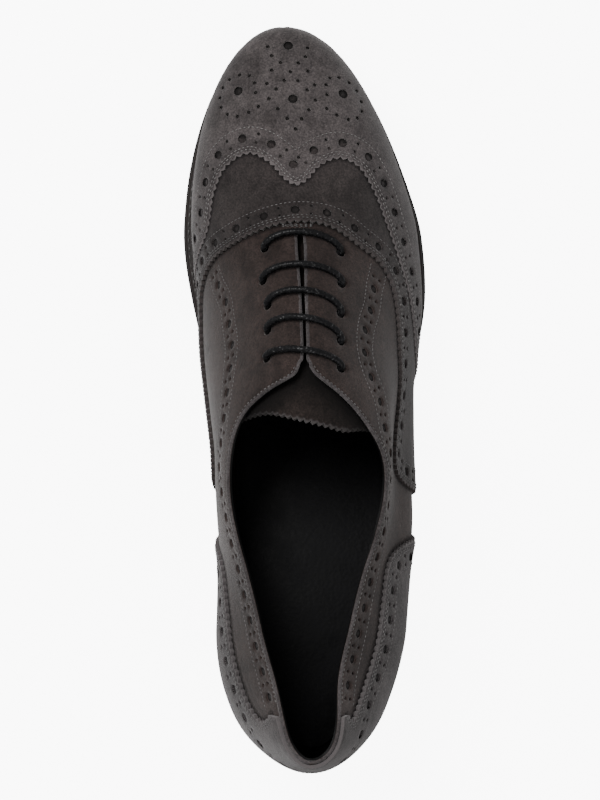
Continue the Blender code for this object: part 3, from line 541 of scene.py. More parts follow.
def make_surround():
    world = bpy.data.worlds.new("studio")
    world.use_nodes = True
    background = world.node_tree.nodes["Background"]
    background.inputs["Color"].default_value = (1, 1, 1, 1)
    background.inputs["Strength"].default_value = SURROUND
    bpy.context.scene.world = world


make_camera()
make_floor()
make_surround()
for lamp_name, lamp_row in LIGHTS.items():
    make_light(lamp_name, *lamp_row)
print("lights:", ", ".join(LIGHTS))

# %% [markdown]
# ## Flat patterns on a curved form
#
# A shoemaker cuts each panel flat and pulls it over the last.  The same is done here: the last has
# two flat charts, one spread from its ridge for the front and one wound round the heel for the
# sides.  A panel is an outline and some holes drawn on a chart, filled with triangles, and then
# lifted onto the last.  Real distances are kept by measuring on the last, not on the chart.

# %% Charts of the last
EDGE_PITCH = 0.8           # between the points of a drawn line


class Chart:
    """A flat chart of the last: to_flat and to_place go to it and back."""

    def lift(self, flat, out=0.0):
        return LAST.surface(self.to_place(flat), out)

    def marks(self, marks):
        return self.to_flat(np.array([LAST.place(mark) for mark in marks]))

    def move(self, flat, way):
        """Chart points after a short move on the last, given as vectors in millimetres."""
        step = 0.2
        here = self.lift(flat)
        along = (self.lift(flat + [step, 0]) - here) / step
        up = (self.lift(flat + [0, step]) - here) / step
        a, b, c = (along**2).sum(1), (along * up).sum(1), (up**2).sum(1)
        d, e = (way * along).sum(1), (way * up).sum(1)
        det = np.maximum(a * c - b * b, 1e-6)
        return flat + np.stack([(d * c - e * b) / det, (e * a - d * b) / det], 1)

    def even(self, line, pitch, phase=0.0):
        """Points a pitch apart on the last along a chart line."""
        run = arc_lengths(self.lift(line))
        at = np.arange(phase, run[-1], pitch)
        return np.stack([np.interp(at, run, line[:, k]) for k in (0, 1)], 1)

    def smooth(self, points, pitch=EDGE_PITCH):
        """Points a pitch apart on the last along a smooth line through chart points."""
        return self.even(curve_through(points, 1.0), pitch)

    def sideways(self, line):
        """Unit vectors on the last, square to a line, to its left seen from outside."""
        run = np.gradient(self.lift(line), axis=0)
        square = np.cross(LAST.normal(self.to_place(line)), run)
        return square / np.maximum(np.linalg.norm(square, axis=1, keepdims=True), 1e-9)

    def beside(self, line, distance, trim=True):
        """A line at a distance to the left of another, without the loops of tight bends."""
        way = self.sideways(line)
        moved = line
        for _ in range(4):
            moved = self.move(moved, way * distance / 4)
        if not trim:
            return moved
        source, ends = self.lift(line), self.lift(moved)
        gap = np.linalg.norm(ends[:, None] - source[None], axis=2).min(axis=1)
        return self.even(moved[gap > 0.95 * abs(distance)], 0.7)

    def disc(self, centre, radius, count):
        """A loop on the chart that is a true circle on the last."""
        centre = np.asarray(centre, float)[None]
        turn = np.linspace(0, 2 * math.pi, count, endpoint=False)[:, None]
        normal = LAST.normal(self.to_place(centre))[0]
        first = np.cross(normal, (0.3, 1.0, 0.2))
        first /= np.linalg.norm(first)
        way = radius * (np.cos(turn) * first + np.sin(turn) * np.cross(normal, first))
        return self.move(np.repeat(centre, count, axis=0), way)


class FrontChart(Chart):
    """Along the ridge, and across from it."""

    def to_flat(self, places):
        at, across = places[:, 0], places[:, 1]
        run = np.interp(at, LAST.from_heel, LAST.ridge_run)
        return np.stack([run, across * LAST.girth(at, across)], 1)

    def to_place(self, flat):
        at = np.interp(flat[:, 0], LAST.ridge_run, LAST.from_heel)
        return np.stack([at, np.clip(flat[:, 1] / LAST.girth(at, flat[:, 1]), -1, 1)], 1)


class SideChart(Chart):
    """Round the heel from the back seam, and up from the feather edge."""

    def __init__(self, side=0):
        self.side = side

    def sides(self, signed):
        return np.full(len(signed), self.side) if self.side else np.where(signed < 0, -1, 1)

    def to_flat(self, places):
        at, across = places[:, 0], places[:, 1]
        side = self.sides(across)
        run = np.interp(at, LAST.from_heel, LAST.outline_run)
        return np.stack([side * run, (1 - np.abs(across)) * LAST.girth(at, side)], 1)

    def to_place(self, flat):
        at = np.interp(np.abs(flat[:, 0]), LAST.outline_run, LAST.from_heel)
        side = self.sides(flat[:, 0])
        return np.stack([at, side * np.clip(1 - flat[:, 1] / LAST.girth(at, side), 0, 1)], 1)


FRONT = FrontChart()
BACK = SideChart()
SIDES = {-1: SideChart(-1), 1: SideChart(1)}
print("charts:", type(FRONT).__name__, type(BACK).__name__)

# %% Panels
TOOTH_PITCH, TOOTH_DEPTH = 2.5, 1.0
TOOTH = np.array([0.0, 0.62, 1.0, 0.62]) - 0.5        # one tooth, from its root over its tip
BEVEL = 0.35               # width of the worn band round a punched hole
SOFT_EDGE = 0.22           # how much lower a cut edge lies
DOUBLED = 0.002            # points nearer than this are one point
# Painted shade: bands beside overlay edges are darkened and lose sheen, standing in for the overlay's shadow
SHADE_BAND = ((0.0, 1.0), (0.6, 0.6), (1.4, 0.0))     # distance from an overlay's edge, shade
NO_BAND = np.zeros((0, 3))
overlaid = []              # places on the last beside the edges of overlays, with their shade


def pinked(chart, line):
    """A line cut with pinking shears: small teeth that stand out to its right."""
    run = arc_lengths(chart.lift(line))[-1]
    count = len(TOOTH) * max(1, round(run / TOOTH_PITCH))
    fine = chart.even(line, run / count * 0.999999)[:count + 1]
    shape = TOOTH_DEPTH * TOOTH[np.arange(len(fine)) % len(TOOTH)]
    return chart.move(fine, -chart.sideways(fine) * shape[:, None])


def inside_loops(loops, points, clear=0.0):
    """Which points are inside the first loop and outside the others, clear of every edge."""
    a = np.concatenate(loops)
    b = np.concatenate([np.roll(loop, -1, axis=0) for loop in loops])
    run = b - a
    rise = np.where(run[:, 1] == 0, 1e-9, run[:, 1])
    length = np.maximum((run**2).sum(1), 1e-9)
    kept = []
    for part in np.array_split(points, max(1, len(points) // 400)):
        x, y = part[:, 0][:, None], part[:, 1][:, None]
        dx, dy = x - a[:, 0], y - a[:, 1]
        crossing = ((a[:, 1] > y) != (b[:, 1] > y)) & (dx < dy / rise * run[:, 0])
        inside = crossing.sum(axis=1) % 2 == 1
        if clear:
            t = np.clip((dx * run[:, 0] + dy * run[:, 1]) / length, 0, 1)
            inside &= np.hypot(dx - t * run[:, 0], dy - t * run[:, 1]).min(axis=1) > clear
        kept.append(inside)
    return np.concatenate(kept)


def cut_out(loops, spacing, band):
    """Triangles of a flat piece with holes: its points, faces, which points are on an edge, and
    how deep each lies in painted shade.  The band holds extra points with their painted shade."""
    edge = np.concatenate(loops)
    low, high = edge.min(0), edge.max(0)
    xs, ys = np.arange(low[0], high[0], spacing), np.arange(low[1], high[1], spacing * 0.866)
    fill = np.stack([np.add.outer(np.arange(len(ys)) % 2 * spacing / 2, xs),
                     np.repeat(ys[:, None], len(xs), axis=1)], 2).reshape(-1, 2)
    fill = fill[inside_loops(loops, fill, 0.42 * spacing)]
    for loop in loops[1:]:
        out = loop - loop.mean(axis=0)
        halo = loop + out / np.linalg.norm(out, axis=1, keepdims=True) * BEVEL
        fill = np.r_[fill, halo[inside_loops(loops, halo, 0.6 * BEVEL)]]
    band = band[inside_loops(loops, band[:, :2], BEVEL)]
    shade = np.r_[np.zeros(len(edge) + len(fill)), band[:, 2]]
    edges, base = [], 0
    for loop in loops:
        edges += [(base + i, base + (i + 1) % len(loop)) for i in range(len(loop))]
        base += len(loop)
    given = [Vector(p) for p in np.r_[edge, fill, band[:, :2]]]
    cut = delaunay_2d_cdt(given, edges, [], 0, 1e-5, True)
    points, faces = np.array([tuple(p) for p in cut[0]]), np.array([tuple(f) for f in cut[2]])
    on_edge = np.array([bool(ids) and min(ids) < len(edge) for ids in cut[3]])
    depth = np.array([shade[min(ids)] if ids else 0.0 for ids in cut[3]])
    return points, faces[inside_loops(loops, points[faces].mean(axis=1))], on_edge, depth


def weld(points, faces, tolerance=1e-3):
    """Joins points that coincide, and drops faces that close up."""
    _, first, same = np.unique(np.round(points / tolerance), axis=0, return_index=True, return_inverse=True)
    faces = same.reshape(-1)[faces]
    return first, faces[(faces != np.roll(faces, 1, axis=1)).all(axis=1)]


def wall_faces(faces, count):
    """The edges that only one face uses, as walls between an outer and an inner sheet."""
    ways = np.concatenate([faces[:, [0, 1]], faces[:, [1, 2]], faces[:, [2, 0]]]).tolist()
    used = Counter(tuple(sorted(pair)) for pair in ways)
    return [(b, a, a + count, b + count) for a, b in ways if used[tuple(sorted((a, b)))] == 1]


def in_metres(points):
    return ((np.asarray(points) + SHIFT) * MM).tolist()


def add_mesh(name, points, faces, material, smooth=50, close=False):
    """A piece in metres.  Closing it merges doubled points and turns its faces outward."""
    mesh = bpy.data.meshes.new(name)
    mesh.from_pydata(in_metres(points), [], faces)
    if close:
        shape = bmesh.new()
        shape.from_mesh(mesh)
        bmesh.ops.remove_doubles(shape, verts=shape.verts, dist=DOUBLED * MM)
        bmesh.ops.recalc_face_normals(shape, faces=shape.faces)
        shape.to_mesh(mesh)
        shape.free()
    mesh.materials.append(material)
    mesh.shade_smooth()
    mesh.set_sharp_from_angle(angle=math.radians(smooth))
    print(name, len(mesh.polygons), "faces")
    return link(bpy.data.objects.new(name, mesh))


def mark_points(mesh, label, kind, values):
    """Stores one number or vector for each point of a mesh."""
    store = mesh.attributes.get(label) or mesh.attributes.new(label, kind, "POINT")
    store.data.foreach_set("value" if kind == "FLOAT" else "vector", np.ravel(values).astype(np.float32))


def shade_beside(chart, edge, reach=1.0):
    """Notes the narrow band beside an overlay's edge for painted shade, standing in for its shadow."""
    for distance, shade in SHADE_BAND:
        line = chart.even(chart.beside(edge, -distance * reach, trim=False), EDGE_PITCH)
        overlaid.extend(np.c_[chart.to_place(line), np.full(len(line), shade)])


def shade_points(chart):
    """The noted bands on one chart."""
    places = np.array(overlaid)
    if isinstance(chart, SideChart) and chart.side:
        places = places[places[:, 1] * chart.side > 0]
    return np.c_[chart.to_flat(places[:, :2]), places[:, 2]]


def panel(name, sheets, top, bottom, material, spacing=2.0, soft=SOFT_EDGE, drop=0.0):
    """Leather of real thickness from flat pieces: sheets is a list of (chart, loops, band)."""
    made, faces, base = [], [], 0
    for chart, loops, band in sheets:
        flat, cut, on_edge, shade = cut_out(loops, spacing, band)
        outer = chart.lift(flat, np.where(on_edge, top - soft, top))
        a, b, c = (outer[cut[:, k]] for k in range(3))
        facing = (np.cross(b - a, c - a) * LAST.normal(chart.to_place(flat[cut].mean(axis=1)))).sum()
        faces.append((cut if facing > 0 else cut[:, ::-1]) + base)
        made.append((outer, chart.lift(flat, bottom), on_edge, shade))
        base += len(flat)
    tops, bottoms, edges, shades = (np.concatenate(values) for values in zip(*made))
    first, faces = weld(tops, np.concatenate(faces))
    count = len(first)
    both = faces.tolist() + (faces[:, ::-1] + count).tolist() + wall_faces(faces, count)
    piece = add_mesh(name, np.r_[tops[first], bottoms[first]] - [0, 0, drop], both, material)
    for label, values in (("cut_edge", edges), ("shade", shades)):
        mark_points(piece.data, label, "FLOAT", np.tile(values[first], 2))
    return piece


print("teeth of a pinked edge in mm:", TOOTH_PITCH, "by", TOOTH_DEPTH)

# %% [markdown]
# ## Rows of holes and thread
#
# A brogue is known by its rows of punched holes: one large hole, a pair of pinholes, one large
# hole, along every pinked edge.  The rows are worked out from the edges they follow, so they keep
# their distance round every bend.  The holes are real gaps in the panels; Geometry Nodes set a
# dark cup of underlying suede in each, its tone partly the suede's own and partly painted shade,
# with more painted shade towards its rim, and lay every stitch of thread.

# %% Rows along an edge
HOLE_RADIUS, PIN_RADIUS = 1.55, 0.56
ROW_PITCH, PAIR_GAP = 10.4, 3.2
EDGE_SEAMS = (1.25, 2.2)   # the two lines of stitches along every pinked edge
THREAD_LIFT = 0.02
FOOT_CLEAR = 0.2           # a panel's lower edge over the feather edge
perforations = []          # (place on the last, lift, radius)
sewn = {"cap": [], "seam": []}         # tone of the thread -> lines of points


def punch(chart, flat, radius, top):
    """One hole: noted for its cup, and returned as a loop for the panel."""
    flat = np.asarray(flat, float)
    perforations.append((chart.to_place(flat[None])[0], top, radius))
    return chart.disc(flat, radius, 14 if radius > 1 else 8)


def brogue_row(chart, line, top, anchor, pitch=ROW_PITCH):
    """Loops of a row: large holes, one of them at the anchor, and a pair of pinholes between two."""
    fine = 0.5
    near = chart.even(line, fine)
    ways = chart.sideways(near)
    hung = fine * int(np.argmin(((chart.lift(near) - LAST.surface(LAST.place(anchor))) ** 2).sum(1)))
    first = hung % (pitch / 2)
    loops = []
    for index, flat in enumerate(chart.even(line, pitch / 2, first)):
        if (index - round((hung - first) / (pitch / 2))) % 2 == 0:
            loops.append(punch(chart, flat, HOLE_RADIUS, top))
            continue
        way = ways[int(np.argmin(((near - flat) ** 2).sum(1)))]
        for half in (-PAIR_GAP / 2, PAIR_GAP / 2):
            loops.append(punch(chart, chart.move(flat[None], way[None] * half)[0], PIN_RADIUS, top))
    return loops


def sew(chart, line, top, tone="seam"):
    """Notes a line of stitches on a panel's outer face."""
    sewn[tone].append(chart.lift(line, top + THREAD_LIFT))


def sew_beside(chart, edge, insets, top, tone="seam"):
    for inset in insets:
        sew(chart, chart.beside(edge, inset), top, tone)


def closing(start, end, count=60):
    """Stations that close up towards a round end."""
    return start + (end - start) * np.sin(np.linspace(0, math.pi / 2, count))


def foot_line(chart, rows, side):
    """The lower edge of a panel."""
    return chart.to_flat(np.array([LAST.from_wall(side, at + HEEL_BACK, FOOT_CLEAR) for at in rows]))


print("radii of the holes in mm:", HOLE_RADIUS, PIN_RADIUS)

# %% [markdown]
# ## The wing cap
#
# The toe cap of a full brogue is a W: a point on the middle of the vamp and two wings that run
# back along the sides.  Its free edge is pinked and sewn twice, then comes the row of holes and
# one more line of stitches.  On the toe sits a medallion of small holes.  Every panel laid on the
# upper runs down to the welt here, where its solid stops a little higher to stay clear of it.

# %% Wing cap
CAP_TOP, CAP_BOTTOM = 2.12, 1.55
CAP_ROW, CAP_SEAM, CAP_PITCH = 5.6, 9.3, 10.8
CAP_HOLE = ("plan", -3.0, 82.8)
CAP_EDGE = (
    ("wall", -1, 33.0, 0.2), ("wall", -1, 38.5, 8.0), ("wall", -1, 45.0, 14.0),
    ("wall", -1, 49.5, 18.5), ("wall", -1, 59.8, 28.5), ("plan", -30.6, 73.5), ("plan", -26.4, 82.4),
    ("plan", -18.6, 86.6), ("plan", -11.6, 82.8), ("plan", -6.6, 77.0),
    ("plan", -2.8, 75.0), ("plan", 0.8, 77.0), ("plan", 5.0, 82.0), ("plan", 11.6, 84.8),
    ("plan", 18.2, 81.9), ("plan", 23.4, 73.5), ("plan", 28.0, 61.2),
    ("wall", 1, 48.3, 31.8), ("wall", 1, 38.0, 28.8), ("wall", 1, 27.0, 25.5), ("wall", 1, 17.0, 20.2),
    ("wall", 1, 8.0, 11.5), ("wall", 1, 4.0, 0.2),
)
MEDALLION_RADII = (0.66, 1.65)
MEDALLION_WIDTH = {-1: 0.97, 1: 0.91}                 # its two halves against the list below
MEDALLION_SINK, MEDALLION_TILT = 0.45, 0.03
# The medallion: distance from the toe's axis, place along the shoe, 1 for a large hole
MEDALLION = (
    (0.0, 124.7, 1), (0.0, 105.9, 1), (18.7, 108.3, 1), (7.0, 124.1, 0), (6.0, 121.0, 0),
    (3.2, 118.7, 0), (6.5, 115.9, 0), (0.0, 115.5, 0), (2.5, 112.4, 0), (8.6, 111.1, 0),
    (5.6, 109.2, 0), (12.8, 111.3, 0), (14.4, 113.8, 0), (17.6, 114.0, 0), (21.1, 112.4, 0),
    (23.6, 109.6, 0), (25.0, 105.9, 0), (25.0, 102.5, 0), (23.2, 100.1, 0), (19.9, 99.4, 0),
    (15.8, 100.8, 0), (12.3, 102.9, 0), (8.4, 105.7, 0), (12.8, 107.8, 0), (5.6, 102.2, 0),
    (2.6, 99.0, 0), (0.0, 95.5, 0),
)
TOE_AXIS, TOE_LEAN = (-5.1, 116.9), -0.09             # a place on the toe's axis, and its slope


def make_cap():
    edge = FRONT.smooth(FRONT.marks(CAP_EDGE))
    inner, outer = (
        foot_line(FRONT, closing(LAST.place(CAP_EDGE[k])[0], LAST_LENGTH), side)[1:]
        for side, k in ((-1, 0), (1, -1)))
    tip = FRONT.to_flat(np.array([(LAST_LENGTH, across) for across in np.linspace(0.9, -0.9, 13)]))
    loops = [np.r_[pinked(FRONT, edge), outer, tip, inner[::-1]]]
    loops += brogue_row(FRONT, FRONT.beside(edge, CAP_ROW), CAP_TOP, CAP_HOLE, CAP_PITCH)
    for aside, y, large in MEDALLION:
        axis = TOE_AXIS[0] + TOE_LEAN * (y - TOE_AXIS[1])
        for side in ((1, -1) if aside else (1,)):
            x = axis + side * aside * MEDALLION_WIDTH[side]
            place = LAST.from_plan(x, y - MEDALLION_SINK - MEDALLION_TILT * side * aside)
            flat = FRONT.to_flat(np.array([place]))[0]
            loops.append(punch(FRONT, flat, MEDALLION_RADII[large], CAP_TOP))
    sew_beside(FRONT, edge, (*EDGE_SEAMS, CAP_SEAM), CAP_TOP, "cap")
    shade_beside(FRONT, edge)
    return panel("wing_cap", [(FRONT, loops, NO_BAND)], CAP_TOP, CAP_BOTTOM, FINISH["cap_suede"])


wing_cap = make_cap()

# %% [markdown]
# ## The vamp
#
# The vamp lies under the cap and over the quarters.  Its rear edge rises to a flat crest at the
# front of the throat and sweeps back along both sides in two tails that end in the waist.

# %% Vamp
VAMP_TOP, VAMP_BOTTOM = 1.52, 0.1
VAMP_ROW, VAMP_SEAM, VAMP_PITCH = 4.4, 7.3, 11.0
VAMP_HOLE = ("plan", -3.0, 66.4)
VAMP_UNDER_CAP = 7.0
VAMP_EDGE = (
    ("wall", -1, -34.0, 0.2), ("wall", -1, -30.5, 12.0), ("wall", -1, -26.0, 20.5),
    ("wall", -1, -18.0, 26.0), ("wall", -1, -9.0, 24.5), ("wall", -1, 0.0, 21.0),
    ("wall", -1, 15.0, 18.0), ("wall", -1, 30.0, 17.0), ("wall", -1, 38.5, 19.5),
    ("plan", -32.3, 48.5), ("plan", -24.3, 55.0), ("plan", -12.0, 60.5), ("plan", -1.6, 62.3),
    ("plan", 8.9, 60.7), ("plan", 19.4, 53.6), ("plan", 26.4, 47.8), ("wall", 1, 40.3, 38.0),
    ("wall", 1, 32.0, 37.3), ("wall", 1, 18.0, 37.5), ("wall", 1, 4.5, 36.3), ("wall", 1, -4.0, 35.6),
    ("wall", 1, -12.0, 37.8), ("wall", 1, -19.0, 39.6), ("wall", 1, -25.0, 35.2),
    ("wall", 1, -28.5, 28.5), ("wall", 1, -31.5, 18.0), ("wall", 1, -34.0, 0.2),
)


def make_vamp():
    edge = FRONT.smooth(FRONT.marks(VAMP_EDGE))
    front = FRONT.beside(FRONT.smooth(FRONT.marks(CAP_EDGE), 1.6), VAMP_UNDER_CAP)
    feet = []
    for side, k in ((-1, 0), (1, -1)):
        start, end = LAST.place(VAMP_EDGE[k])[0], FRONT.to_place(front[[k]])[0, 0]
        feet.append(foot_line(FRONT, np.linspace(start, end, 40)[1:-1], side))
    loops = [np.r_[pinked(FRONT, edge), feet[1], front[::-1], feet[0][::-1]]]
    loops += brogue_row(FRONT, FRONT.beside(edge, VAMP_ROW), VAMP_TOP, VAMP_HOLE, VAMP_PITCH)
    sew_beside(FRONT, edge, (*EDGE_SEAMS, VAMP_SEAM), VAMP_TOP)
    band = shade_points(FRONT)
    shade_beside(FRONT, edge)
    return panel("vamp_panel", [(FRONT, loops, band)], VAMP_TOP, VAMP_BOTTOM, FINISH["vamp_suede"])


vamp_panel = make_vamp()

# %% [markdown]
# ## The heel counter
#
# The counter hugs the heel.  Its edge climbs the wall, runs back level, and turns up at the back
# into a tab that reaches the topline.  Its row of holes passes under the tab and round the back.

# %% Counter
COUNTER_TOP, COUNTER_BOTTOM = 1.52, 0.1
COUNTER_ROW, COUNTER_SEAM = 5.2, 8.2
COUNTER_HOLE = ("wall", 1, -76.0, 34.5)
COUNTER_UNDER_TOPLINE = 0.5
# The painted shade beside the counter's edge reaches further than beside the other edges
COUNTER_SHADE_REACH = 2.0  # its edge casts a wider shade than the others
TAB_START = 24.0           # from the heel
COUNTER_COLUMNS = "y medial lateral".split()
COUNTER_ROWS = (
    (-46.5, 0.2, 0.2), (-48.5, 11.0, 15.0), (-50.6, 19.0, 26.5), (-54.0, 25.5, 34.8),
    (-58.5, 28.6, 37.5), (-68.0, 29.2, 37.5), (-84.0, 31.2, 38.6), (-98.0, 34.6, 42.0),
    (-108.5, 38.6, 46.0), (-112.5, 43.6, 48.3), (-112.3, 48.5, 50.5), (-110.0, 53.0, 53.5),
)


def make_counter():
    edges, tops, feet = {}, {}, {}
    for side in (-1, 1):
        height = COUNTER_COLUMNS.index("medial" if side < 0 else "lateral")
        marks = np.array([LAST.from_wall(side, row[0], row[height]) for row in COUNTER_ROWS])
        edges[side] = BACK.smooth(BACK.to_flat(marks))
        rows = closing(BACK.to_place(edges[side][-1:])[0, 0], 0.0, 24)
        rims = [LAST.from_height(at, side, by_side(TOPLINE_ROWS, side, at)) for at in rows]
        tops[side] = BACK.to_flat(np.stack([rows, rims], 1)) - [0, COUNTER_UNDER_TOPLINE]
        feet[side] = foot_line(BACK, closing(marks[0, 0], 0.0), side)
    lines = {-1: edges[-1][::-1], 1: edges[1]}
    loop = np.r_[pinked(BACK, lines[-1])[::-1], tops[-1][1:], tops[1][-2:0:-1],
                 pinked(BACK, lines[1])[::-1], feet[1][1:-1], feet[-1][:0:-1]]
    before_tab = [edges[side][BACK.to_place(edges[side])[:, 0] > TAB_START][::8] for side in (1, -1)]
    round_back = BACK.smooth(np.r_[before_tab[0], before_tab[1][::-1]])
    loops = [loop] + brogue_row(BACK, BACK.beside(round_back, COUNTER_ROW), COUNTER_TOP, COUNTER_HOLE)
    sew_beside(BACK, round_back, (COUNTER_SEAM,), COUNTER_TOP)
    for line in lines.values():
        sew_beside(BACK, line, EDGE_SEAMS, COUNTER_TOP)
        shade_beside(BACK, line, COUNTER_SHADE_REACH)
    sheets = [(BACK, loops, NO_BAND)]
    return panel("heel_counter_panel", sheets, COUNTER_TOP, COUNTER_BOTTOM, FINISH["counter_suede"])


counter_panel = make_counter()

# %% [markdown]
# ## Quarters and lining
#
# Two quarters make the sides and the facings.  Each carries five lace holes, and a row of punched
# holes between two lines of stitches that runs down the facing and back along the topline.  The
# black lining is a second skin inside them that ends a little under the topline.

# %% Quarters
QUARTER_TOP, QUARTER_BOTTOM = 0.0, -1.15
LINING_TOP, LINING_BOTTOM = -1.2, -2.15
LINING_LOWER = 0.7         # the lining's edge under the topline
LINING_SPACING = 3.0
QUARTER_FRONT = 212.0
LACE_HOLE_RADIUS = 1.75
LACE_BARS = (
    ((-14.1, 53.3), (12.7, 51.9), 6.3),
    ((-14.7, 41.8), (13.0, 40.8), 6.2),
    ((-13.0, 33.1), (12.7, 30.3), 6.6),
    ((-13.0, 24.4), (12.7, 20.6), 6.2),
    ((-13.3, 14.7), (12.7, 11.2), 4.2),
)
FACING_ROW = {
    -1: ((-31.8, 45.0), (-30.5, 40.6), (-27.7, 34.3), (-26.7, 27.4), (-25.6, 19.7), (-26.3, 10.3),
         (-27.4, 0.2), (-28.4, -10.3), (-29.8, -21.0)),
    1: ((26.0, 45.5), (24.5, 39.2), (23.5, 32.3), (21.7, 26.3), (21.0, 18.3), (22.8, 9.6),
        (26.6, -0.8), (28.4, -11.3), (30.1, -20.7)),
}
FACING_PITCH, FACING_SEAM = 9.2, 4.0
BACK_END, THROAT = 30, (128, 147)      # where the stations of a wall lie closer
TOPLINE_ROW_STATIONS = (92.0, 74.0, 58.0, 44.0, 32.0, 22.0)
ROW_UNDER_TOPLINE = 5.2
RIM_SEAM_ROWS, RIM_SEAM_INSET = np.linspace(104, 141, 50), 1.3
# A bar tack holds the front end of the slit
BAR_TACK_X, BAR_TACK_Y = (-7.4, 2.2), 60.75
BAR_TACK_ROWS, BAR_TACK_STEP, BAR_TACK_SHIFT, BAR_TACK_LIFT = 4, 0.26, 0.8, 0.15


def topline(side, at):
    """How far across a wall reaches: the ridge, the slit's edge or the topline."""
    if at >= SLIT_START:
        return 0.0
    slit = side * float(column(SLIT_COLUMNS, SLIT_ROWS, "half_gap", at) / LAST.girth(at, side))
    if at >= TOPLINE_ROWS[-1, 0]:
        return slit
    return max(slit, LAST.from_height(at, side, by_side(TOPLINE_ROWS, side, at)), key=abs)


def rim_line(side, rows, inset=0.0):
    """A line on the chart along a wall's top edge, or some way under it."""
    places = np.array([(at, topline(side, at)) for at in rows])
    return SIDES[side].to_flat(places) - np.stack(np.broadcast_arrays(0.0 * rows, inset), 1)


def side_rows(end):
    """Stations that follow a wall's top edge closely at the throat and at the back."""
    back = BACK_END * (1 - np.cos(np.linspace(0, math.pi / 2, 14)))
    return np.unique(np.r_[back, np.linspace(BACK_END, THROAT[0], 50), np.linspace(*THROAT, 40),
                           np.linspace(THROAT[1], SLIT_START, 24), np.linspace(SLIT_START, end, 40)])


def wall_loop(side, end, lower=0.0):
    """The outline of one side of the upper on its chart, from the back seam to a station."""
    rows = side_rows(end)
    foot = SIDES[side].to_flat(np.array([(at, side) for at in rows]))
    top = rim_line(side, rows, np.where(rows < SLIT_START, lower, 0.0))
    back = np.stack([np.zeros(20), np.linspace(top[0, 1], foot[0, 1], 22)[1:-1]], 1)
    front = np.stack([np.full(20, foot[-1, 0]), np.linspace(foot[-1, 1], top[-1, 1], 22)[1:-1]], 1)
    loop = np.r_[foot, front, top[::-1], back]
    return loop[::-1] if side < 0 else loop


def wall_loops(side, end, lower=0.0):
    """A wall's outline and its five lace holes."""
    chart = SIDES[side]
    holes = np.array([LAST.from_plan(*bar[0 if side < 0 else 1]) for bar in LACE_BARS])
    discs = [chart.disc(hole, LACE_HOLE_RADIUS, 14) for hole in chart.to_flat(holes)]
    return [wall_loop(side, end, lower)] + discs


def facing_line(side):
    """The line that the row of holes follows, down the facing and along the topline."""
    facing = SIDES[side].to_flat(np.array([LAST.from_plan(*point) for point in FACING_ROW[side]]))
    rear = rim_line(side, np.array(TOPLINE_ROW_STATIONS), ROW_UNDER_TOPLINE)
    return SIDES[side].smooth(np.r_[facing, rear])


def make_quarters():
    sheets = []
    for side, chart in SIDES.items():
        line, loops = facing_line(side), wall_loops(side, QUARTER_FRONT)
        loops += brogue_row(chart, line, QUARTER_TOP, ("plan", *FACING_ROW[side][1]), FACING_PITCH)
        sew_beside(chart, line, (-FACING_SEAM, FACING_SEAM), QUARTER_TOP)
        sew(chart, chart.even(rim_line(side, RIM_SEAM_ROWS, RIM_SEAM_INSET), EDGE_PITCH), QUARTER_TOP)
        sheets.append((chart, loops, shade_points(chart)))
    for row in range(BAR_TACK_ROWS):
        xs = np.linspace(BAR_TACK_X[0] + row % 2 * BAR_TACK_SHIFT, BAR_TACK_X[1], 12)
        marks = [("plan", x, BAR_TACK_Y + row * BAR_TACK_STEP) for x in xs]
        sew(FRONT, FRONT.marks(marks), QUARTER_TOP + BAR_TACK_LIFT)
    return panel("quarters", sheets, QUARTER_TOP, QUARTER_BOTTOM, FINISH["quarter_suede"])


def make_lining():
    sheets = [(chart, wall_loops(side, LAST_LENGTH, LINING_LOWER), NO_BAND) for side, chart in SIDES.items()]
    return panel("lining", sheets, LINING_TOP, LINING_BOTTOM, FINISH["lining_leather"], LINING_SPACING, 0.0)


quarters = make_quarters()
lining = make_lining()

# %% [markdown]
# ## The tongue
#
# A suede tongue closes the throat under the lace.  Its free top edge is pinked like the panels.
# Painted shade darkens it towards the facings over it.

# %% Tongue
TONGUE_DROP, TONGUE_THICKNESS = 5.4, 1.7
TONGUE_ROWS = np.array((
    (122, 23.4, 32.5), (132, 24.4, 28.5), (150, 21.0, 21.5), (175, 18.0, 18.0), (197, 15.0, 15.0),
))
# Its free edge in plan, a little higher on the inner side; its corners hide under the topline
TONGUE_EDGE = (
    (-21.0, -6.2), (-16.1, -4.6), (-12.0, -4.3), (-1.6, -6.4), (8.8, -8.8), (13.9, -10.2), (20.5, -9.9),
)
TONGUE_CORNERS = {-1: 121.8, 1: 118.6}
TONGUE_TUCK = {-1: 4.4, 1: 1.8}
TONGUE_TUCK_ROWS = (125, 140)          # where the tuck fades out
# Painted shade on the tongue stands in for the facings' shadow
TONGUE_SHADE_REACH = 13.0  # how far the facings shade the tongue under them
TONGUE_SHADE_ROWS = np.linspace(112, 146, 70)


def make_tongue():
    sides = []
    for side in (-1, 1):
        rows = np.linspace(TONGUE_CORNERS[side], TONGUE_ROWS[-1, 0], 50)
        reach = by_side(TONGUE_ROWS, side, rows) + TONGUE_TUCK[side] * (1 - eased(*TONGUE_TUCK_ROWS, rows))
        sides.append(np.stack([np.interp(rows, LAST.from_heel, LAST.ridge_run), side * reach], 1))
    left, right = sides
    free = FRONT.marks([("plan", *point) for point in TONGUE_EDGE])
    top = FRONT.smooth(np.r_[left[:1], free, right[:1]])
    loop = np.r_[pinked(FRONT, top), right[1:], left[:0:-1]]
    return panel("tongue_panel", [(FRONT, [loop], NO_BAND)], 0.0, -TONGUE_THICKNESS,
                 FINISH["tongue_suede"], drop=TONGUE_DROP)


